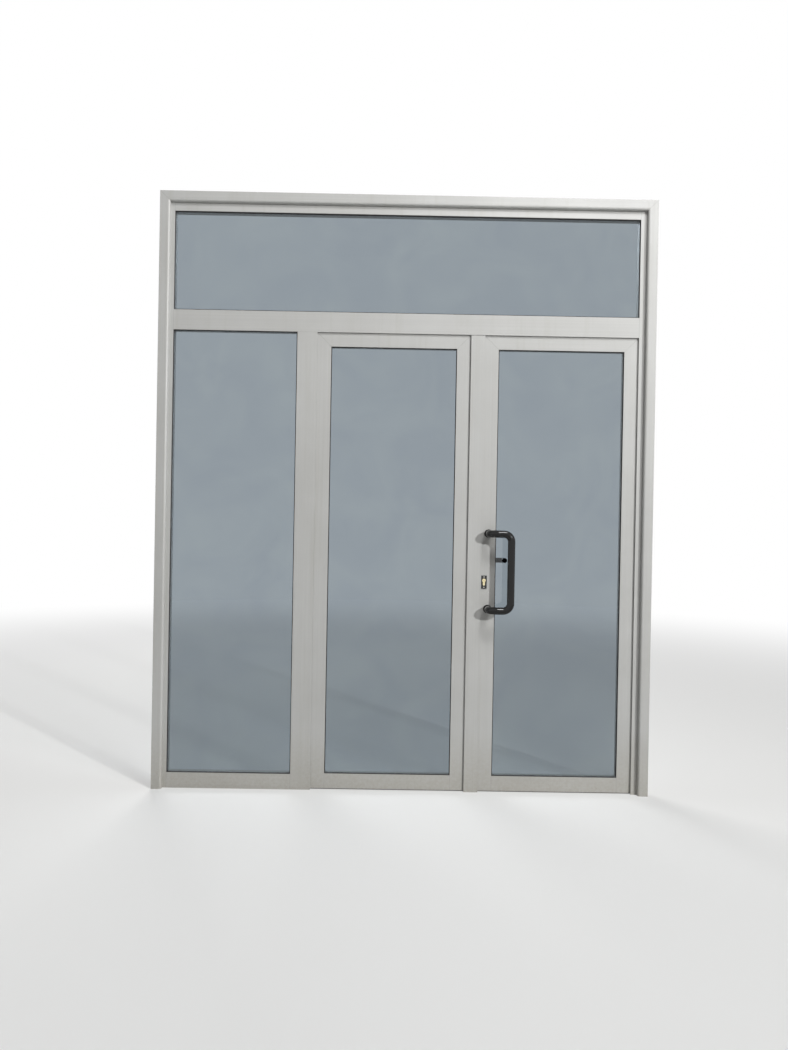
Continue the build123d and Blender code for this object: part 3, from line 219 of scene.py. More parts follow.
def coated(name, along):
    """Powder-coated aluminium with its die lines along one axis of the bars."""
    material, tree, shader, place = blank(name)
    # Die lines run the length of a bar; real ones are under 1 mm apart, drawn 5 mm apart to show
    squeeze = [1.0, 1.0, 1.0]
    squeeze["XYZ".index(along)] = LINE_SQUEEZE
    stretched = put(tree, "ShaderNodeMapping", {"Vector": place, "Scale": squeeze})
    lines = put(
        tree,
        "ShaderNodeTexNoise",
        {"Vector": stretched.outputs[0], "Scale": 1 / LINE_SPACING, "Detail": 3.0},
    )
    tone = put(
        tree,
        "ShaderNodeMix",
        {"Factor": lines.outputs["Fac"], "A": linear("#A8A8A6"), "B": linear("#B4B4B2")},
        data_type="RGBA",
    )
    # Cloudy change of tone over about 350 mm, from weather and wiping
    clouds = put(
        tree, "ShaderNodeTexNoise", {"Vector": place, "Scale": 1 / CLOUD_SIZE, "Detail": 4.0}
    )
    cloudy = put(
        tree,
        "ShaderNodeMapRange",
        {"Value": clouds.outputs["Fac"], "From Min": 0.38, "From Max": 0.68, "To Max": 0.3},
    )
    # Rain streaks, 25 mm wide and running down whichever way the bar lies
    downward = put(
        tree, "ShaderNodeMapping", {"Vector": place, "Scale": (1.0, 1.0, STREAK_SQUEEZE)}
    )
    streaks = put(
        tree,
        "ShaderNodeTexNoise",
        {"Vector": downward.outputs[0], "Scale": 1 / STREAK_WIDTH, "Detail": 2.0},
    )
    streaked = put(
        tree,
        "ShaderNodeMapRange",
        {"Value": streaks.outputs["Fac"], "From Min": 0.55, "From Max": 0.75, "To Max": 0.22},
    )
    # Splashed dust on the lowest 300 mm, in spots of about 12 mm
    height = put(tree, "ShaderNodeSeparateXYZ", {0: place})
    low = put(
        tree,
        "ShaderNodeMapRange",
        {
            "Value": height.outputs["Z"],
            "From Min": 0.0,
            "From Max": SPLASH_HEIGHT,
            "To Min": SPLASH_SHARE,
            "To Max": 0.0,
        },
    )
    spots = put(
        tree, "ShaderNodeTexNoise", {"Vector": place, "Scale": 1 / SPOT_SIZE, "Detail": 5.0}
    )
    dusty = put(
        tree, "ShaderNodeMath", {0: low.outputs[0], 1: spots.outputs["Fac"]}, operation="MULTIPLY"
    )
    # Flakes in the coat, real ones 0.05 mm, here 1.2 mm so that they show
    flakes = put(
        tree, "ShaderNodeTexNoise", {"Vector": place, "Scale": 1 / FLAKE_SIZE, "Detail": 2.0}
    )
    spark = put(
        tree,
        "ShaderNodeMapRange",
        {"Value": flakes.outputs["Fac"], "From Min": 0.6, "From Max": 0.75, "To Max": 0.35},
    )
    for part, colour in (
        (cloudy, "#9C9B97"),
        (streaked, "#9B9991"),
        (dusty, "#948E80"),
        (spark, "#C7C7C5"),
    ):
        tone = put(
            tree,
            "ShaderNodeMix",
            {"Factor": part.outputs[0], "A": tone.outputs["Result"], "B": linear(colour)},
            data_type="RGBA",
        )
    tree.links.new(tone.outputs["Result"], shader.inputs["Base Color"])
    sheen = put(
        tree,
        "ShaderNodeMapRange",
        {"Value": flakes.outputs["Fac"], "To Min": 0.32, "To Max": 0.46},
    )
    duller = put(
        tree,
        "ShaderNodeMath",
        {0: dusty.outputs[0], 1: 0.3, 2: sheen.outputs[0]},
        operation="MULTIPLY_ADD",
    )
    tree.links.new(duller.outputs[0], shader.inputs["Roughness"])
    # Sharp arrises are softened by the coat's own thickness; the die lines and the peel lie on top
    surface = put(tree, "ShaderNodeBevel", {"Radius": ARRIS_RADIUS}, samples=4)
    for relief, strength in ((lines, 0.12), (flakes, 0.08)):
        surface = put(
            tree,
            "ShaderNodeBump",
            {
                "Height": relief.outputs["Fac"],
                "Strength": strength,
                "Distance": COAT_RELIEF,
                "Normal": surface.outputs[0],
            },
        )
    tree.links.new(surface.outputs[0], shader.inputs["Normal"])
    return material


def dress(material, *names):
    """Give CAD nodes a material."""
    for name in names:
        for slot in nodes[name].material_slots:
            slot.material = material


dress(
    coated("coated_aluminium_upright", "Z"),
    "left_jamb",
    "right_jamb",
    "mullion",
    "centre_post",
    "left_cover",
    "right_cover",
    "active_hinge_stile",
    "active_lock_stile",
    "passive_hinge_stile",
    "passive_free_stile",
    "active_hinge_knuckles",
    "passive_hinge_knuckles",
    "frame_hinge_knuckles",
)
dress(
    coated("coated_aluminium_level", "X"),
    "head",
    "head_cover",
    "transom_bar",
    "sidelight_bottom_rail",
    "active_top_rail",
    "active_bottom_rail",
    "passive_top_rail",
    "passive_bottom_rail",
    "transom_beads",
    "sidelight_beads",
    "active_beads",
    "passive_beads",
)

# Joints of the bars
# Where two bars meet, square or mitred, the saw cut is filled with a hair of grey joint sealer.
# It stands a tenth of a millimetre proud; its dark grey is painted shade of the joint, with grime.
JOINT_WIDTH, JOINT_PROUD = 0.0007, 0.0001
JOINT_ROUNDING = 0.8 * JOINT_PROUD
GRIME_SIZE = 0.008
sealer, tree, shader, place = blank("joint_sealer_painted_shade")
grime = put(tree, "ShaderNodeTexNoise", {"Vector": place, "Scale": 1 / GRIME_SIZE, "Detail": 5.0})
# The sealer's dark grey is painted shade of the hairline joint, mottled by grime
tone = put(
    tree,
    "ShaderNodeMix",
    {"Factor": grime.outputs["Fac"], "A": linear("#6E6E6B"), "B": linear("#8F8E8A")},
    data_type="RGBA",
)
tree.links.new(tone.outputs["Result"], shader.inputs["Base Color"])
dull = put(
    tree, "ShaderNodeMapRange", {"Value": grime.outputs["Fac"], "To Min": 0.6, "To Max": 0.8}
)
tree.links.new(dull.outputs[0], shader.inputs["Roughness"])


def pick(piece, kind, test):
    """Enter edit mode, with the faces or edges selected whose middle and direction pass a test."""
    bpy.ops.object.mode_set(mode="EDIT")
    bpy.ops.mesh.select_mode(type=kind)
    bpy.ops.mesh.select_all(action="DESELECT")
    bpy.ops.object.mode_set(mode="OBJECT")
    mesh = piece.data
    if kind == "FACE":
        for face in mesh.polygons:
            face.select = test(face.center, face.normal)
    else:
        for edge in mesh.edges:
            start, end = (mesh.vertices[i].co for i in edge.vertices)
            edge.select = test((start + end) / 2, (end - start).normalized())
    bpy.ops.object.mode_set(mode="EDIT")


def join(name, pieces):
    """Join pieces into one, with its place in its mesh."""
    bpy.ops.object.select_all(action="DESELECT")
    for piece in pieces:
        piece.select_set(True)
    bpy.context.view_layer.objects.active = pieces[0]
    if len(pieces) > 1:
        bpy.ops.object.join()
    bpy.ops.object.transform_apply(location=True, rotation=True, scale=True)
    joined = bpy.context.object
    joined.name = name
    joined.data.name = name
    return joined


def sealed_joints(name, body, lines):
    """Beads of sealer in painted joint shade, in the upright plane, each on a face and end to end.
    """
    beads = []
    for face, outward, start_x, start_z, end_x, end_z in lines:
        length = hypot(end_x - start_x, end_z - start_z)
        tilt = -atan2(end_z - start_z, end_x - start_x)
        middle = ((start_x + end_x) / 2, face, (start_z + end_z) / 2)
        bpy.ops.object.select_all(action="DESELECT")
        bpy.ops.mesh.primitive_cube_add(size=1, location=middle, rotation=(0, tilt, 0))
        strip = bpy.context.object
        strip.scale = (length, 2 * JOINT_PROUD, JOINT_WIDTH)
        bpy.ops.object.transform_apply(location=False, rotation=False, scale=True)
        pick(
            strip,
            "EDGE",
            lambda middle, along: abs(along.x) > 0.9 and middle.y * outward > 0,
        )
        bpy.ops.mesh.bevel(offset=JOINT_ROUNDING, segments=2)
        bpy.ops.object.mode_set(mode="OBJECT")
        beads.append(strip)
    piece = join(name, beads)
    piece.data.materials.append(sealer)
    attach(piece, body)


FRAME_FACE, COVER_FACE, LEAF_FACE, INSIDE_FACE = -0.014, -0.036, -0.005, 0.045
LEFT_SIGHT, RIGHT_SIGHT = -1.0975, 1.088
MULLION_LEFT, MULLION_RIGHT = -0.516, -0.422
POST_LEFT, POST_RIGHT = 0.300, 0.366
RAIL_TOP, DOOR_HEAD, TRANSOM_TOP = 0.072, 2.150, 2.244
HEAD_SIGHT, COVER_UNDER, FRAME_TOP, OVERALL_TOP = 2.705, 2.743, 2.7675, 2.790
COVER_OUTER = 1.1625
# The upright joints are sealed from half a millimetre above the floor
FOOT = 0.0005
# The cover's mitre shows on its flat face, between these distances from the outer corner
MITRE_START, MITRE_END = 0.002, 0.037
# The outer fin, by which each bar is wider outside than inside
FIN = 0.020
lines = []
for sight, side in ((LEFT_SIGHT, -1), (RIGHT_SIGHT, 1)):
    behind = sight + side * FIN
    lines += [
        (FRAME_FACE, -1, sight, DOOR_HEAD, sight, TRANSOM_TOP),
        (FRAME_FACE, -1, sight, HEAD_SIGHT, sight, COVER_UNDER),
        (
            COVER_FACE,
            -1,
            side * (COVER_OUTER - MITRE_START),
            OVERALL_TOP - MITRE_START,
            side * (COVER_OUTER - MITRE_END),
            OVERALL_TOP - MITRE_END,
        ),
        (INSIDE_FACE, 1, behind, DOOR_HEAD + FIN, behind, TRANSOM_TOP - FIN),
        (INSIDE_FACE, 1, behind, HEAD_SIGHT + FIN, behind, FRAME_TOP),
    ]
for left, right in ((MULLION_LEFT, MULLION_RIGHT), (POST_LEFT, POST_RIGHT)):
    lines.append((INSIDE_FACE, 1, left + FIN, DOOR_HEAD + FIN, right - FIN, DOOR_HEAD + FIN))
for sight, side in ((LEFT_SIGHT, -1), (MULLION_LEFT, 1)):
    behind = sight + side * FIN
    lines += [
        (FRAME_FACE, -1, sight, FOOT, sight, RAIL_TOP),
        (INSIDE_FACE, 1, behind, FOOT, behind, RAIL_TOP - FIN),
    ]
lines.append((FRAME_FACE, -1, MULLION_LEFT, DOOR_HEAD, MULLION_RIGHT, DOOR_HEAD))
sealed_joints("frame_joints", "frame", lines)

LEAF_BOTTOM, LEAF_TOP = 0.005, 2.166
LEAF_SIGHT_LOW, LEAF_SIGHT_HIGH = 0.075, 2.085
STILE_FACE = 0.081
ACTIVE_FREE_EDGE, ACTIVE_HINGE_EDGE = 0.350, 1.104
PASSIVE_HINGE_EDGE, PASSIVE_FREE_EDGE = -0.438, 0.316
for body, left, right in (
    ("active_leaf", ACTIVE_FREE_EDGE, ACTIVE_HINGE_EDGE),
    ("passive_leaf", PASSIVE_HINGE_EDGE, PASSIVE_FREE_EDGE),
):
    lines = []
    for edge, inward in ((left, 1), (right, -1)):
        sight = edge + inward * STILE_FACE
        stile_back = sight - inward * FIN
        lines += [
            (LEAF_FACE, -1, edge, LEAF_TOP, sight, LEAF_SIGHT_HIGH),
            (LEAF_FACE, -1, sight, LEAF_BOTTOM, sight, LEAF_SIGHT_LOW),
            (INSIDE_FACE, 1, edge, LEAF_TOP, stile_back, LEAF_SIGHT_HIGH + FIN),
            (INSIDE_FACE, 1, stile_back, LEAF_BOTTOM, stile_back, LEAF_SIGHT_LOW - FIN),
        ]
    sealed_joints(f"{body}_joints", body, lines)

# Gaskets and seals
# Extruded EPDM rubber pushed into the profiles' grooves, black and matt, greyed by dust.
# The strips under the leaves are a black brush pile, and the blocks under the panes are nylon.
DUST_SIZE, RUBBER_GRAIN = 0.02, 0.0015
rubber, tree, shader, place = blank("epdm_rubber")
dust = put(tree, "ShaderNodeTexNoise", {"Vector": place, "Scale": 1 / DUST_SIZE, "Detail": 6.0})
tone = put(
    tree,
    "ShaderNodeMix",
    {"Factor": dust.outputs["Fac"], "A": linear("#101011"), "B": linear("#262626")},
    data_type="RGBA",
)
tree.links.new(tone.outputs["Result"], shader.inputs["Base Color"])
dull = put(
    tree, "ShaderNodeMapRange", {"Value": dust.outputs["Fac"], "To Min": 0.55, "To Max": 0.8}
)
tree.links.new(dull.outputs[0], shader.inputs["Roughness"])
grain = put(
    tree, "ShaderNodeTexNoise", {"Vector": place, "Scale": 1 / RUBBER_GRAIN, "Detail": 3.0}
)
rough = put(
    tree, "ShaderNodeBump", {"Height": grain.outputs["Fac"], "Strength": 0.15, "Distance": 0.0002}
)
tree.links.new(rough.outputs[0], shader.inputs["Normal"])
dress(
    rubber,
    "transom_gaskets",
    "sidelight_gaskets",
    "active_gaskets",
    "passive_gaskets",
    "stop_gaskets",
)

# Bristles of 0.2 mm, drawn 1 mm apart so that they show
BRISTLE_SPACING, BRISTLE_SQUEEZE = 0.001, 0.02
pile, tree, shader, place = blank("black_brush_pile")
upright = put(tree, "ShaderNodeMapping", {"Vector": place, "Scale": (1.0, 1.0, BRISTLE_SQUEEZE)})
bristles = put(
    tree,
    "ShaderNodeTexNoise",
    {"Vector": upright.outputs[0], "Scale": 1 / BRISTLE_SPACING, "Detail": 2.0},
)
tone = put(
    tree,
    "ShaderNodeMix",
    {"Factor": bristles.outputs["Fac"], "A": linear("#0C0C0C"), "B": linear("#3A3937")},
    data_type="RGBA",
)
tree.links.new(tone.outputs["Result"], shader.inputs["Base Color"])
combed = put(
    tree, "ShaderNodeBump", {"Height": bristles.outputs["Fac"], "Strength": 0.7, "Distance": 0.001}
)
tree.links.new(combed.outputs[0], shader.inputs["Normal"])
shader.inputs["Roughness"].default_value = 0.9
dress(pile, "active_brush_seal", "passive_brush_seal")

MOULD_GRAIN = 0.002
nylon, tree, shader, place = blank("moulded_black_nylon")
mould = put(tree, "ShaderNodeTexNoise", {"Vector": place, "Scale": 1 / MOULD_GRAIN, "Detail": 3.0})
tone = put(
    tree,
    "ShaderNodeMix",
    {"Factor": mould.outputs["Fac"], "A": linear("#1B1B1C"), "B": linear("#2B2B2C")},
    data_type="RGBA",
)
tree.links.new(tone.outputs["Result"], shader.inputs["Base Color"])
shader.inputs["Roughness"].default_value = 0.5
dress(nylon, "frame_setting_blocks", "active_setting_blocks", "passive_setting_blocks")

# Panes
# Laminated float glass in two leaves of 4 mm, lightly toned blue-grey. The tone is painted shade
# and reflection, for a dim room behind, so that the panes read darker than the bars.
# It is flat and clear, with only a breath of dust.
WIPE_SIZE = 0.3
float_glass, tree, shader, place = blank("float_glass_painted_shade")
# Dust left in wiped arcs of about 300 mm
wiped = put(
    tree,
    "ShaderNodeTexNoise",
    {"Vector": place, "Scale": 1 / WIPE_SIZE, "Detail": 5.0, "Distortion": 1.2},
)
film = put(
    tree,
    "ShaderNodeMapRange",
    {"Value": wiped.outputs["Fac"], "From Min": 0.35, "From Max": 0.7},
)
# Both blue-greys are painted shade and reflection; the wiped dust only moves between them
tone = put(
    tree,
    "ShaderNodeMix",
    {"Factor": film.outputs[0], "A": linear("#89939B"), "B": linear("#8F999F")},
    data_type="RGBA",
)
tree.links.new(tone.outputs["Result"], shader.inputs["Base Color"])
shader.inputs["Roughness"].default_value = 0.0
shader.inputs["Transmission Weight"].default_value = 1.0
shader.inputs["IOR"].default_value = 1.52
# Light that casts shadows goes through, dimmed by the tone, so the floor shows the bars' pattern
SHADOW_OF_PANE = 0.35
rays = put(tree, "ShaderNodeLightPath")
passing = put(
    tree,
    "ShaderNodeMapRange",
    {"Value": rays.outputs["Is Shadow Ray"], "To Min": 1.0, "To Max": SHADOW_OF_PANE},
)
tree.links.new(passing.outputs[0], shader.inputs["Alpha"])
dress(float_glass, "transom_glass", "sidelight_glass", "active_glass", "passive_glass")

# Pull handle, its collars, and the inside lever with its rose
# Bent steel tube and bar in a gloss black stove enamel. It flowed out smooth in the oven, so it
# throws crisp highlights along the bends, with only a trace of orange peel.
SMEAR_SIZE, WAVE_SIZE = 0.03, 0.002
enamel, tree, shader, place = blank("gloss_black_enamel")
smears = put(tree, "ShaderNodeTexNoise", {"Vector": place, "Scale": 1 / SMEAR_SIZE, "Detail": 4.0})
tone = put(
    tree,
    "ShaderNodeMix",
    {"Factor": smears.outputs["Fac"], "A": linear("#040405"), "B": linear("#0C0C0D")},
    data_type="RGBA",
)
tree.links.new(tone.outputs["Result"], shader.inputs["Base Color"])
handled = put(
    tree,
    "ShaderNodeMapRange",
    {
        "Value": smears.outputs["Fac"],
        "From Min": 0.3,
        "From Max": 0.7,
        "To Min": 0.05,
        "To Max": 0.12,
    },
)
tree.links.new(handled.outputs[0], shader.inputs["Roughness"])
waves = put(tree, "ShaderNodeTexNoise", {"Vector": place, "Scale": 1 / WAVE_SIZE, "Detail": 2.0})
peel = put(
    tree, "ShaderNodeBump", {"Height": waves.outputs["Fac"], "Strength": 0.05, "Distance": 0.0003}
)
tree.links.new(peel.outputs[0], shader.inputs["Normal"])
shader.inputs["IOR"].default_value = 1.42
dress(enamel, "pull_handle", "handle_collars", "lever", "lever_rose")

# Lock cylinder, its plates and their screws
# A cylinder of drawn brass, ground along its length and turned across its plug, between two
# small plates of satin black painted steel, each held by two nickelled screws.
STAIN_SIZE, ROUGHNESS_SPREAD = 0.012, 0.08


def ground(name, dark, pale, dull, grain, spacing):
    """Bare metal ground in one direction; grain squeezes the axis along which the lines run."""
    material, tree, shader, place = blank(name)
    drawn = put(tree, "ShaderNodeMapping", {"Vector": place, "Scale": grain})
    lines = put(
        tree,
        "ShaderNodeTexNoise",
        {"Vector": drawn.outputs[0], "Scale": 1 / spacing, "Detail": 3.0},
    )
    stains = put(
        tree, "ShaderNodeTexNoise", {"Vector": place, "Scale": 1 / STAIN_SIZE, "Detail": 4.0}
    )
    share = put(
        tree,
        "ShaderNodeMath",
        {0: lines.outputs["Fac"], 1: stains.outputs["Fac"]},
        operation="ADD",
    )
    share = put(
        tree, "ShaderNodeMapRange", {"Value": share.outputs[0], "From Min": 0.6, "From Max": 1.4}
    )
    tone = put(
        tree,
        "ShaderNodeMix",
        {"Factor": share.outputs[0], "A": linear(dark), "B": linear(pale)},
        data_type="RGBA",
    )
    tree.links.new(tone.outputs["Result"], shader.inputs["Base Color"])
    roughness = put(
        tree,
        "ShaderNodeMapRange",
        {
            "Value": lines.outputs["Fac"],
            "To Min": dull - ROUGHNESS_SPREAD,
            "To Max": dull + ROUGHNESS_SPREAD,
        },
    )
    tree.links.new(roughness.outputs[0], shader.inputs["Roughness"])
    scored = put(
        tree,
        "ShaderNodeBump",
        {"Height": lines.outputs["Fac"], "Strength": 0.2, "Distance": 0.0001},
    )
    tree.links.new(scored.outputs[0], shader.inputs["Normal"])
    shader.inputs["Metallic"].default_value = 1.0
    return material


# Lines 0.3 mm apart, three times as coarse as the real grinding
brass = ground(
    "ground_brass", "#D8C796", "#F1E6C3", dull=0.26, grain=(0.03, 1.0, 1.0), spacing=0.0003
)
dress(brass, "cylinder_body")

PLUG_X, PLUG_HEIGHT = 0.380, 0.998
RING_SPACING = 0.0005
turned_brass, tree, shader, place = blank("turned_brass")
# The lathe's rings run round the plug's axis, 0.5 mm apart
centred = put(
    tree,
    "ShaderNodeMapping",
    {"Vector": place, "Location": (-PLUG_X, 0.0, -PLUG_HEIGHT), "Scale": (1.0, 0.0, 1.0)},
)
rings = put(
    tree,
    "ShaderNodeTexWave",
    {
        "Vector": centred.outputs[0],
        "Scale": 1 / RING_SPACING / (2 * pi),
        "Distortion": 0.6,
        "Detail": 2.0,
    },
    wave_type="RINGS",
    rings_direction="SPHERICAL",
)
tone = put(
    tree,
    "ShaderNodeMix",
    {"Factor": rings.outputs["Fac"], "A": linear("#DBCA9B"), "B": linear("#F2E8C6")},
    data_type="RGBA",
)
tree.links.new(tone.outputs["Result"], shader.inputs["Base Color"])
cut = put(
    tree, "ShaderNodeBump", {"Height": rings.outputs["Fac"], "Strength": 0.15, "Distance": 0.0001}
)
tree.links.new(cut.outputs[0], shader.inputs["Normal"])
shader.inputs["Metallic"].default_value = 1.0
shader.inputs["Roughness"].default_value = 0.22
dress(turned_brass, "cylinder_plug")

SPRAY_SIZE, RUB_SIZE = 0.001, 0.01
PLATE_ARRIS = 0.0006
plate_black, tree, shader, place = blank("satin_black_paint")
# Fine spray texture of about 1 mm, rubbed a little paler where keys brush past
spray = put(tree, "ShaderNodeTexNoise", {"Vector": place, "Scale": 1 / SPRAY_SIZE, "Detail": 3.0})
rubbed = put(tree, "ShaderNodeTexNoise", {"Vector": place, "Scale": 1 / RUB_SIZE, "Detail": 5.0})
tone = put(
    tree,
    "ShaderNodeMix",
    {"Factor": rubbed.outputs["Fac"], "A": linear("#101011"), "B": linear("#29292A")},
    data_type="RGBA",
)
tree.links.new(tone.outputs["Result"], shader.inputs["Base Color"])
satin = put(
    tree, "ShaderNodeMapRange", {"Value": spray.outputs["Fac"], "To Min": 0.3, "To Max": 0.46}
)
tree.links.new(satin.outputs[0], shader.inputs["Roughness"])
soft = put(tree, "ShaderNodeBevel", {"Radius": PLATE_ARRIS}, samples=4)
sprayed = put(
    tree,
    "ShaderNodeBump",
    {
        "Height": spray.outputs["Fac"],
        "Strength": 0.15,
        "Distance": 0.0002,
        "Normal": soft.outputs[0],
    },
)
tree.links.new(sprayed.outputs[0], shader.inputs["Normal"])
dress(plate_black, "cylinder_plates")

# Shares of a head's height: its domed rim, and how deep its cross is and where it has its middle
RIM_SHARE, CROSS_DEPTH, CROSS_MIDDLE = 0.72, 1.6, 1.05
# Shares of a head's radius: half the width of the cross's bars, and how far its arms go beyond
CROSS_CORE, CROSS_ARM = 0.13, 0.5
# In radians: where shading turns sharp, the first screw's turn, and the turn from one to the next
SMOOTH_ANGLE, FIRST_TURN, NEXT_TURN = 0.6, 0.37, 1.1


def screw_head(name, radius, proud, shank_radius=0, shank_length=0):
    """Screw with a domed head and a cross recess, standing at the origin and facing up."""
    bpy.ops.object.select_all(action="DESELECT")
    bpy.ops.mesh.primitive_cylinder_add(
        vertices=36, radius=radius, depth=proud, location=(0, 0, proud / 2)
    )
    head = bpy.context.object
    bpy.ops.object.transform_apply(location=True, rotation=False, scale=False)
    pick(head, "EDGE", lambda middle, along: middle.z > 0.99 * proud)
    bpy.ops.mesh.bevel(offset=RIM_SHARE * proud, segments=5)
    bpy.ops.object.mode_set(mode="OBJECT")
    if shank_length:
        pick(head, "FACE", lambda middle, normal: normal.z < -0.9)
        bpy.ops.mesh.inset(thickness=radius - shank_radius, depth=0)
        bpy.ops.mesh.extrude_region_move(TRANSFORM_OT_translate={"value": (0, 0, -shank_length)})
        bpy.ops.object.mode_set(mode="OBJECT")
    core = CROSS_CORE * radius
    bpy.ops.object.select_all(action="DESELECT")
    bpy.ops.mesh.primitive_cube_add(size=2 * core, location=(0, 0, 0))
    cross = bpy.context.object
    cross.scale = (1, 1, CROSS_DEPTH * proud / (2 * core))
    cross.location = (0, 0, CROSS_MIDDLE * proud)
    bpy.ops.object.transform_apply(location=True, rotation=False, scale=True)
    for side in ((1, 0), (-1, 0), (0, 1), (0, -1)):
        outward = Vector((side[0], side[1], 0))
        pick(
            cross,
            "FACE",
            lambda middle, normal: (
                normal.dot(outward) > 0.9 and abs(middle.dot(outward) - core) < 1e-6
            ),
        )
        bpy.ops.mesh.extrude_region_move(
            TRANSFORM_OT_translate={"value": tuple(CROSS_ARM * radius * outward)}
        )
        bpy.ops.object.mode_set(mode="OBJECT")
    recess = head.modifiers.new("recess", "BOOLEAN")
    recess.operation = "DIFFERENCE"
    recess.solver = "EXACT"
    recess.object = cross
    bpy.ops.object.select_all(action="DESELECT")
    head.select_set(True)
    bpy.context.view_layer.objects.active = head
    bpy.ops.object.modifier_apply(modifier="recess")
    bpy.data.objects.remove(cross)
    bpy.ops.object.shade_smooth_by_angle(angle=SMOOTH_ANGLE)
    head.name = name
    return head


def set_screws(name, head, places, body, material, stands_for=()):
    """Copy a screw to each place, facing outward and each turned differently, and join them."""
    copies = []
    for count, (place, outward) in enumerate(places):
        copy = head.copy()
        copy.data = head.data.copy()
        bpy.context.scene.collection.objects.link(copy)
        facing = Vector(outward).to_track_quat("Z", "Y").to_matrix().to_4x4()
        turned = Matrix.Rotation(FIRST_TURN + NEXT_TURN * count, 4, "Z")
        copy.matrix_world = Matrix.Translation(place) @ facing @ turned
        copies.append(copy)
    screws = join(name, copies)
    screws.data.materials.clear()
    screws.data.materials.append(material)
    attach(screws, body)
    if stands_for:
        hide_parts(*stands_for)


PLATE_FRONT, PLATE_BACK = -0.009, 0.049
PLATE_SCREW_HEIGHTS = (1.014, 0.966)
nickel = ground(
    "nickelled_steel", "#B4B2AC", "#D6D4CE", dull=0.24, grain=(1.0, 1.0, 0.2), spacing=0.0006
)
plate_screw = screw_head(
    "plate_screw", radius=0.0032, proud=0.0014, shank_radius=0.002, shank_length=0.0075
)
set_screws(
    "cylinder_plate_screws",
    plate_screw,
    [
        ((PLUG_X, face, height), (0, side, 0))
        for face, side in ((PLATE_FRONT, -1), (PLATE_BACK, 1))
        for height in PLATE_SCREW_HEIGHTS
    ],
    "active_leaf",
    nickel,
    ("plate_screws",),
)
bpy.data.objects.remove(plate_screw)

# Lock case, faceplate, bolts and strike
# Pressed steel with a bright zinc plating. The faceplate and the strike plate are let into the
# edges of the bars, each held by two countersunk screws near its ends.
zinc = ground(
    "zinc_plated_steel", "#A2A6A9", "#C3C7CA", dull=0.34, grain=(1.0, 1.0, 0.05), spacing=0.0008
)
dress(zinc, "strike_body", "lock_case")
bright = ground(
    "bright_steel", "#B5B6B6", "#D2D3D3", dull=0.26, grain=(1.0, 1.0, 0.03), spacing=0.0005
)
dress(
    bright,
    "strike_plate",
    "strike_keeper",
    "lock_faceplate",
    "lock_hub",
    "latch",
    "dead_bolt",
    "top_flush_bolt",
    "bottom_flush_bolt",
    "hinge_pins",
)
satin_anodised = ground(
    "satin_anodised_aluminium",
    "#B4B5B5",
    "#C6C7C7",
    dull=0.38,
    grain=(1.0, 1.0, 0.03),
    spacing=0.0006,
)
dress(satin_anodised, "flush_bolt_housings")

BOLT_LINE = 0.020
STRIKE_PLATE_FACE = 0.346
LOCK_SCREW_HEIGHTS, STRIKE_SCREW_HEIGHTS = (0.938, 1.163), (1.0195, 1.1535)
HOUSING_MIDDLES, HOUSING_SCREW_REACH = (1.950, 0.221), 0.072
edge_screw = screw_head("edge_screw", radius=0.0038, proud=0.0008)
for name, face, side, heights, body in (
    ("lock_edge_screws", ACTIVE_FREE_EDGE, -1, LOCK_SCREW_HEIGHTS, "active_leaf"),
    ("strike_screws", STRIKE_PLATE_FACE, 1, STRIKE_SCREW_HEIGHTS, "frame"),
    (
        "flush_bolt_screws",
        PASSIVE_FREE_EDGE,
        1,
        [
            middle + reach
            for middle in HOUSING_MIDDLES
            for reach in (HOUSING_SCREW_REACH, -HOUSING_SCREW_REACH)
        ],
        "passive_leaf",
    ),
):
    places = [((face, BOLT_LINE, height), (side, 0, 0)) for height in heights]
    set_screws(name, edge_screw, places, body, nickel)
bpy.data.objects.remove(edge_screw)

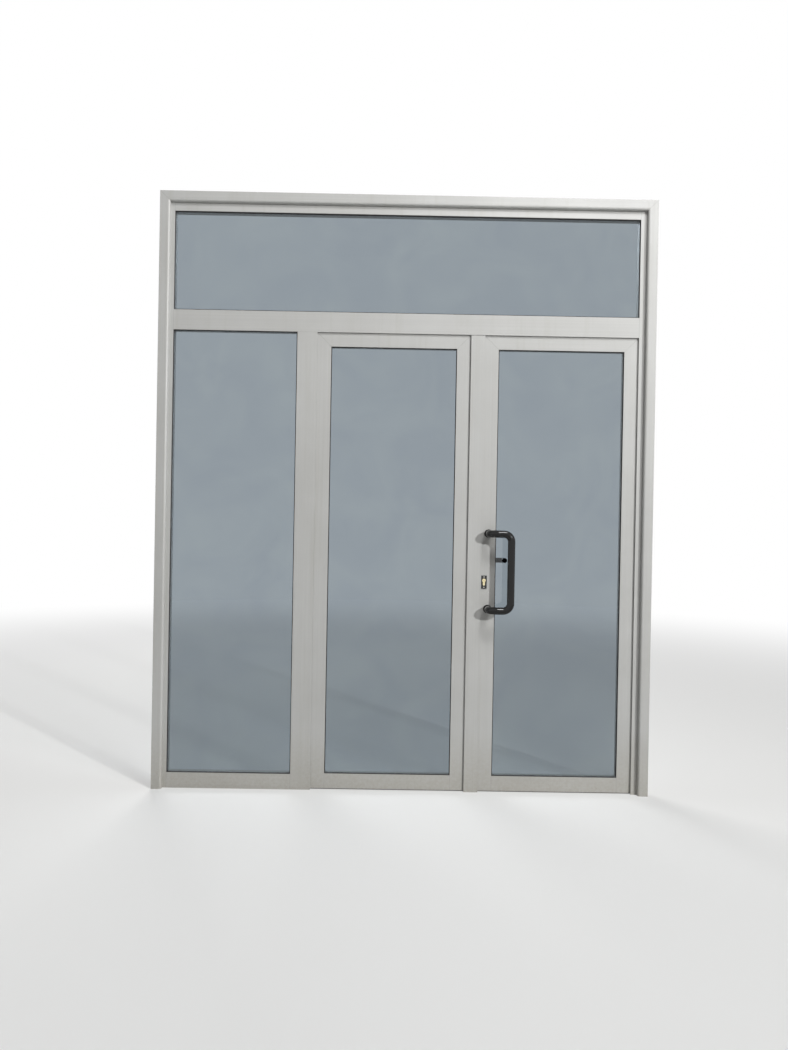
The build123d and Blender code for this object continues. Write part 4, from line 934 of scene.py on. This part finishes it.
# Hinge screws and caps
# Each barrel hinge half is held to its bar by two cross-headed screws through the plate, and a
# moulded nylon cap closes each end of the barrel over the pin.
HINGE_HEIGHTS = (0.250, 1.0855, 1.921)
HINGE_AXES = (("active_leaf", 1.106, 1), ("passive_leaf", -0.440, -1))
HINGE_PLATE_FACE = 0.049
SCREW_FROM_AXIS, SCREW_RISES = 0.0235, (0.012, 0.038)
BARREL_Y, BARREL_RADIUS, BARREL_HALF = 0.056, 0.009, 0.050
CAP_HEIGHT, CAP_ROUNDING, CAP_RIM, CAP_DISH = 0.0035, 0.0021, 0.002, 0.0003
hinge_screw = screw_head("hinge_screw", radius=0.0042, proud=0.0011)
frame_places = []
for body, axis_x, away in HINGE_AXES:
    leaf_places = []
    for height in HINGE_HEIGHTS:
        for rise in SCREW_RISES:
            on_leaf = (axis_x - away * SCREW_FROM_AXIS, HINGE_PLATE_FACE, height + rise)
            on_frame = (axis_x + away * SCREW_FROM_AXIS, HINGE_PLATE_FACE, height - rise)
            leaf_places.append((on_leaf, (0, 1, 0)))
            frame_places.append((on_frame, (0, 1, 0)))
    set_screws(f"{body}_hinge_screws", hinge_screw, leaf_places, body, nickel)
set_screws("frame_hinge_screws", hinge_screw, frame_places, "frame", nickel)
bpy.data.objects.remove(hinge_screw)

bpy.ops.object.select_all(action="DESELECT")
bpy.ops.mesh.primitive_cylinder_add(
    vertices=40, radius=BARREL_RADIUS, depth=CAP_HEIGHT, location=(0, 0, CAP_HEIGHT / 2)
)
cap = bpy.context.object
bpy.ops.object.transform_apply(location=True, rotation=False, scale=False)
pick(cap, "EDGE", lambda middle, along: middle.z > 0.99 * CAP_HEIGHT)
bpy.ops.mesh.bevel(offset=CAP_ROUNDING, segments=4)
bpy.ops.object.mode_set(mode="OBJECT")
pick(cap, "FACE", lambda middle, normal: normal.z > 0.99)
bpy.ops.mesh.inset(thickness=CAP_RIM, depth=0)
bpy.ops.mesh.inset(thickness=CAP_DISH, depth=-CAP_DISH)
bpy.ops.object.mode_set(mode="OBJECT")
bpy.ops.object.shade_smooth_by_angle(angle=SMOOTH_ANGLE)
frame_places = []
for body, axis_x, away in HINGE_AXES:
    leaf_places = []
    for height in HINGE_HEIGHTS:
        leaf_places.append(((axis_x, BARREL_Y, height + BARREL_HALF), (0, 0, 1)))
        frame_places.append(((axis_x, BARREL_Y, height - BARREL_HALF), (0, 0, -1)))
    set_screws(f"{body}_hinge_caps", cap, leaf_places, body, nylon)
set_screws("frame_hinge_caps", cap, frame_places, "frame", nylon)
bpy.data.objects.remove(cap)
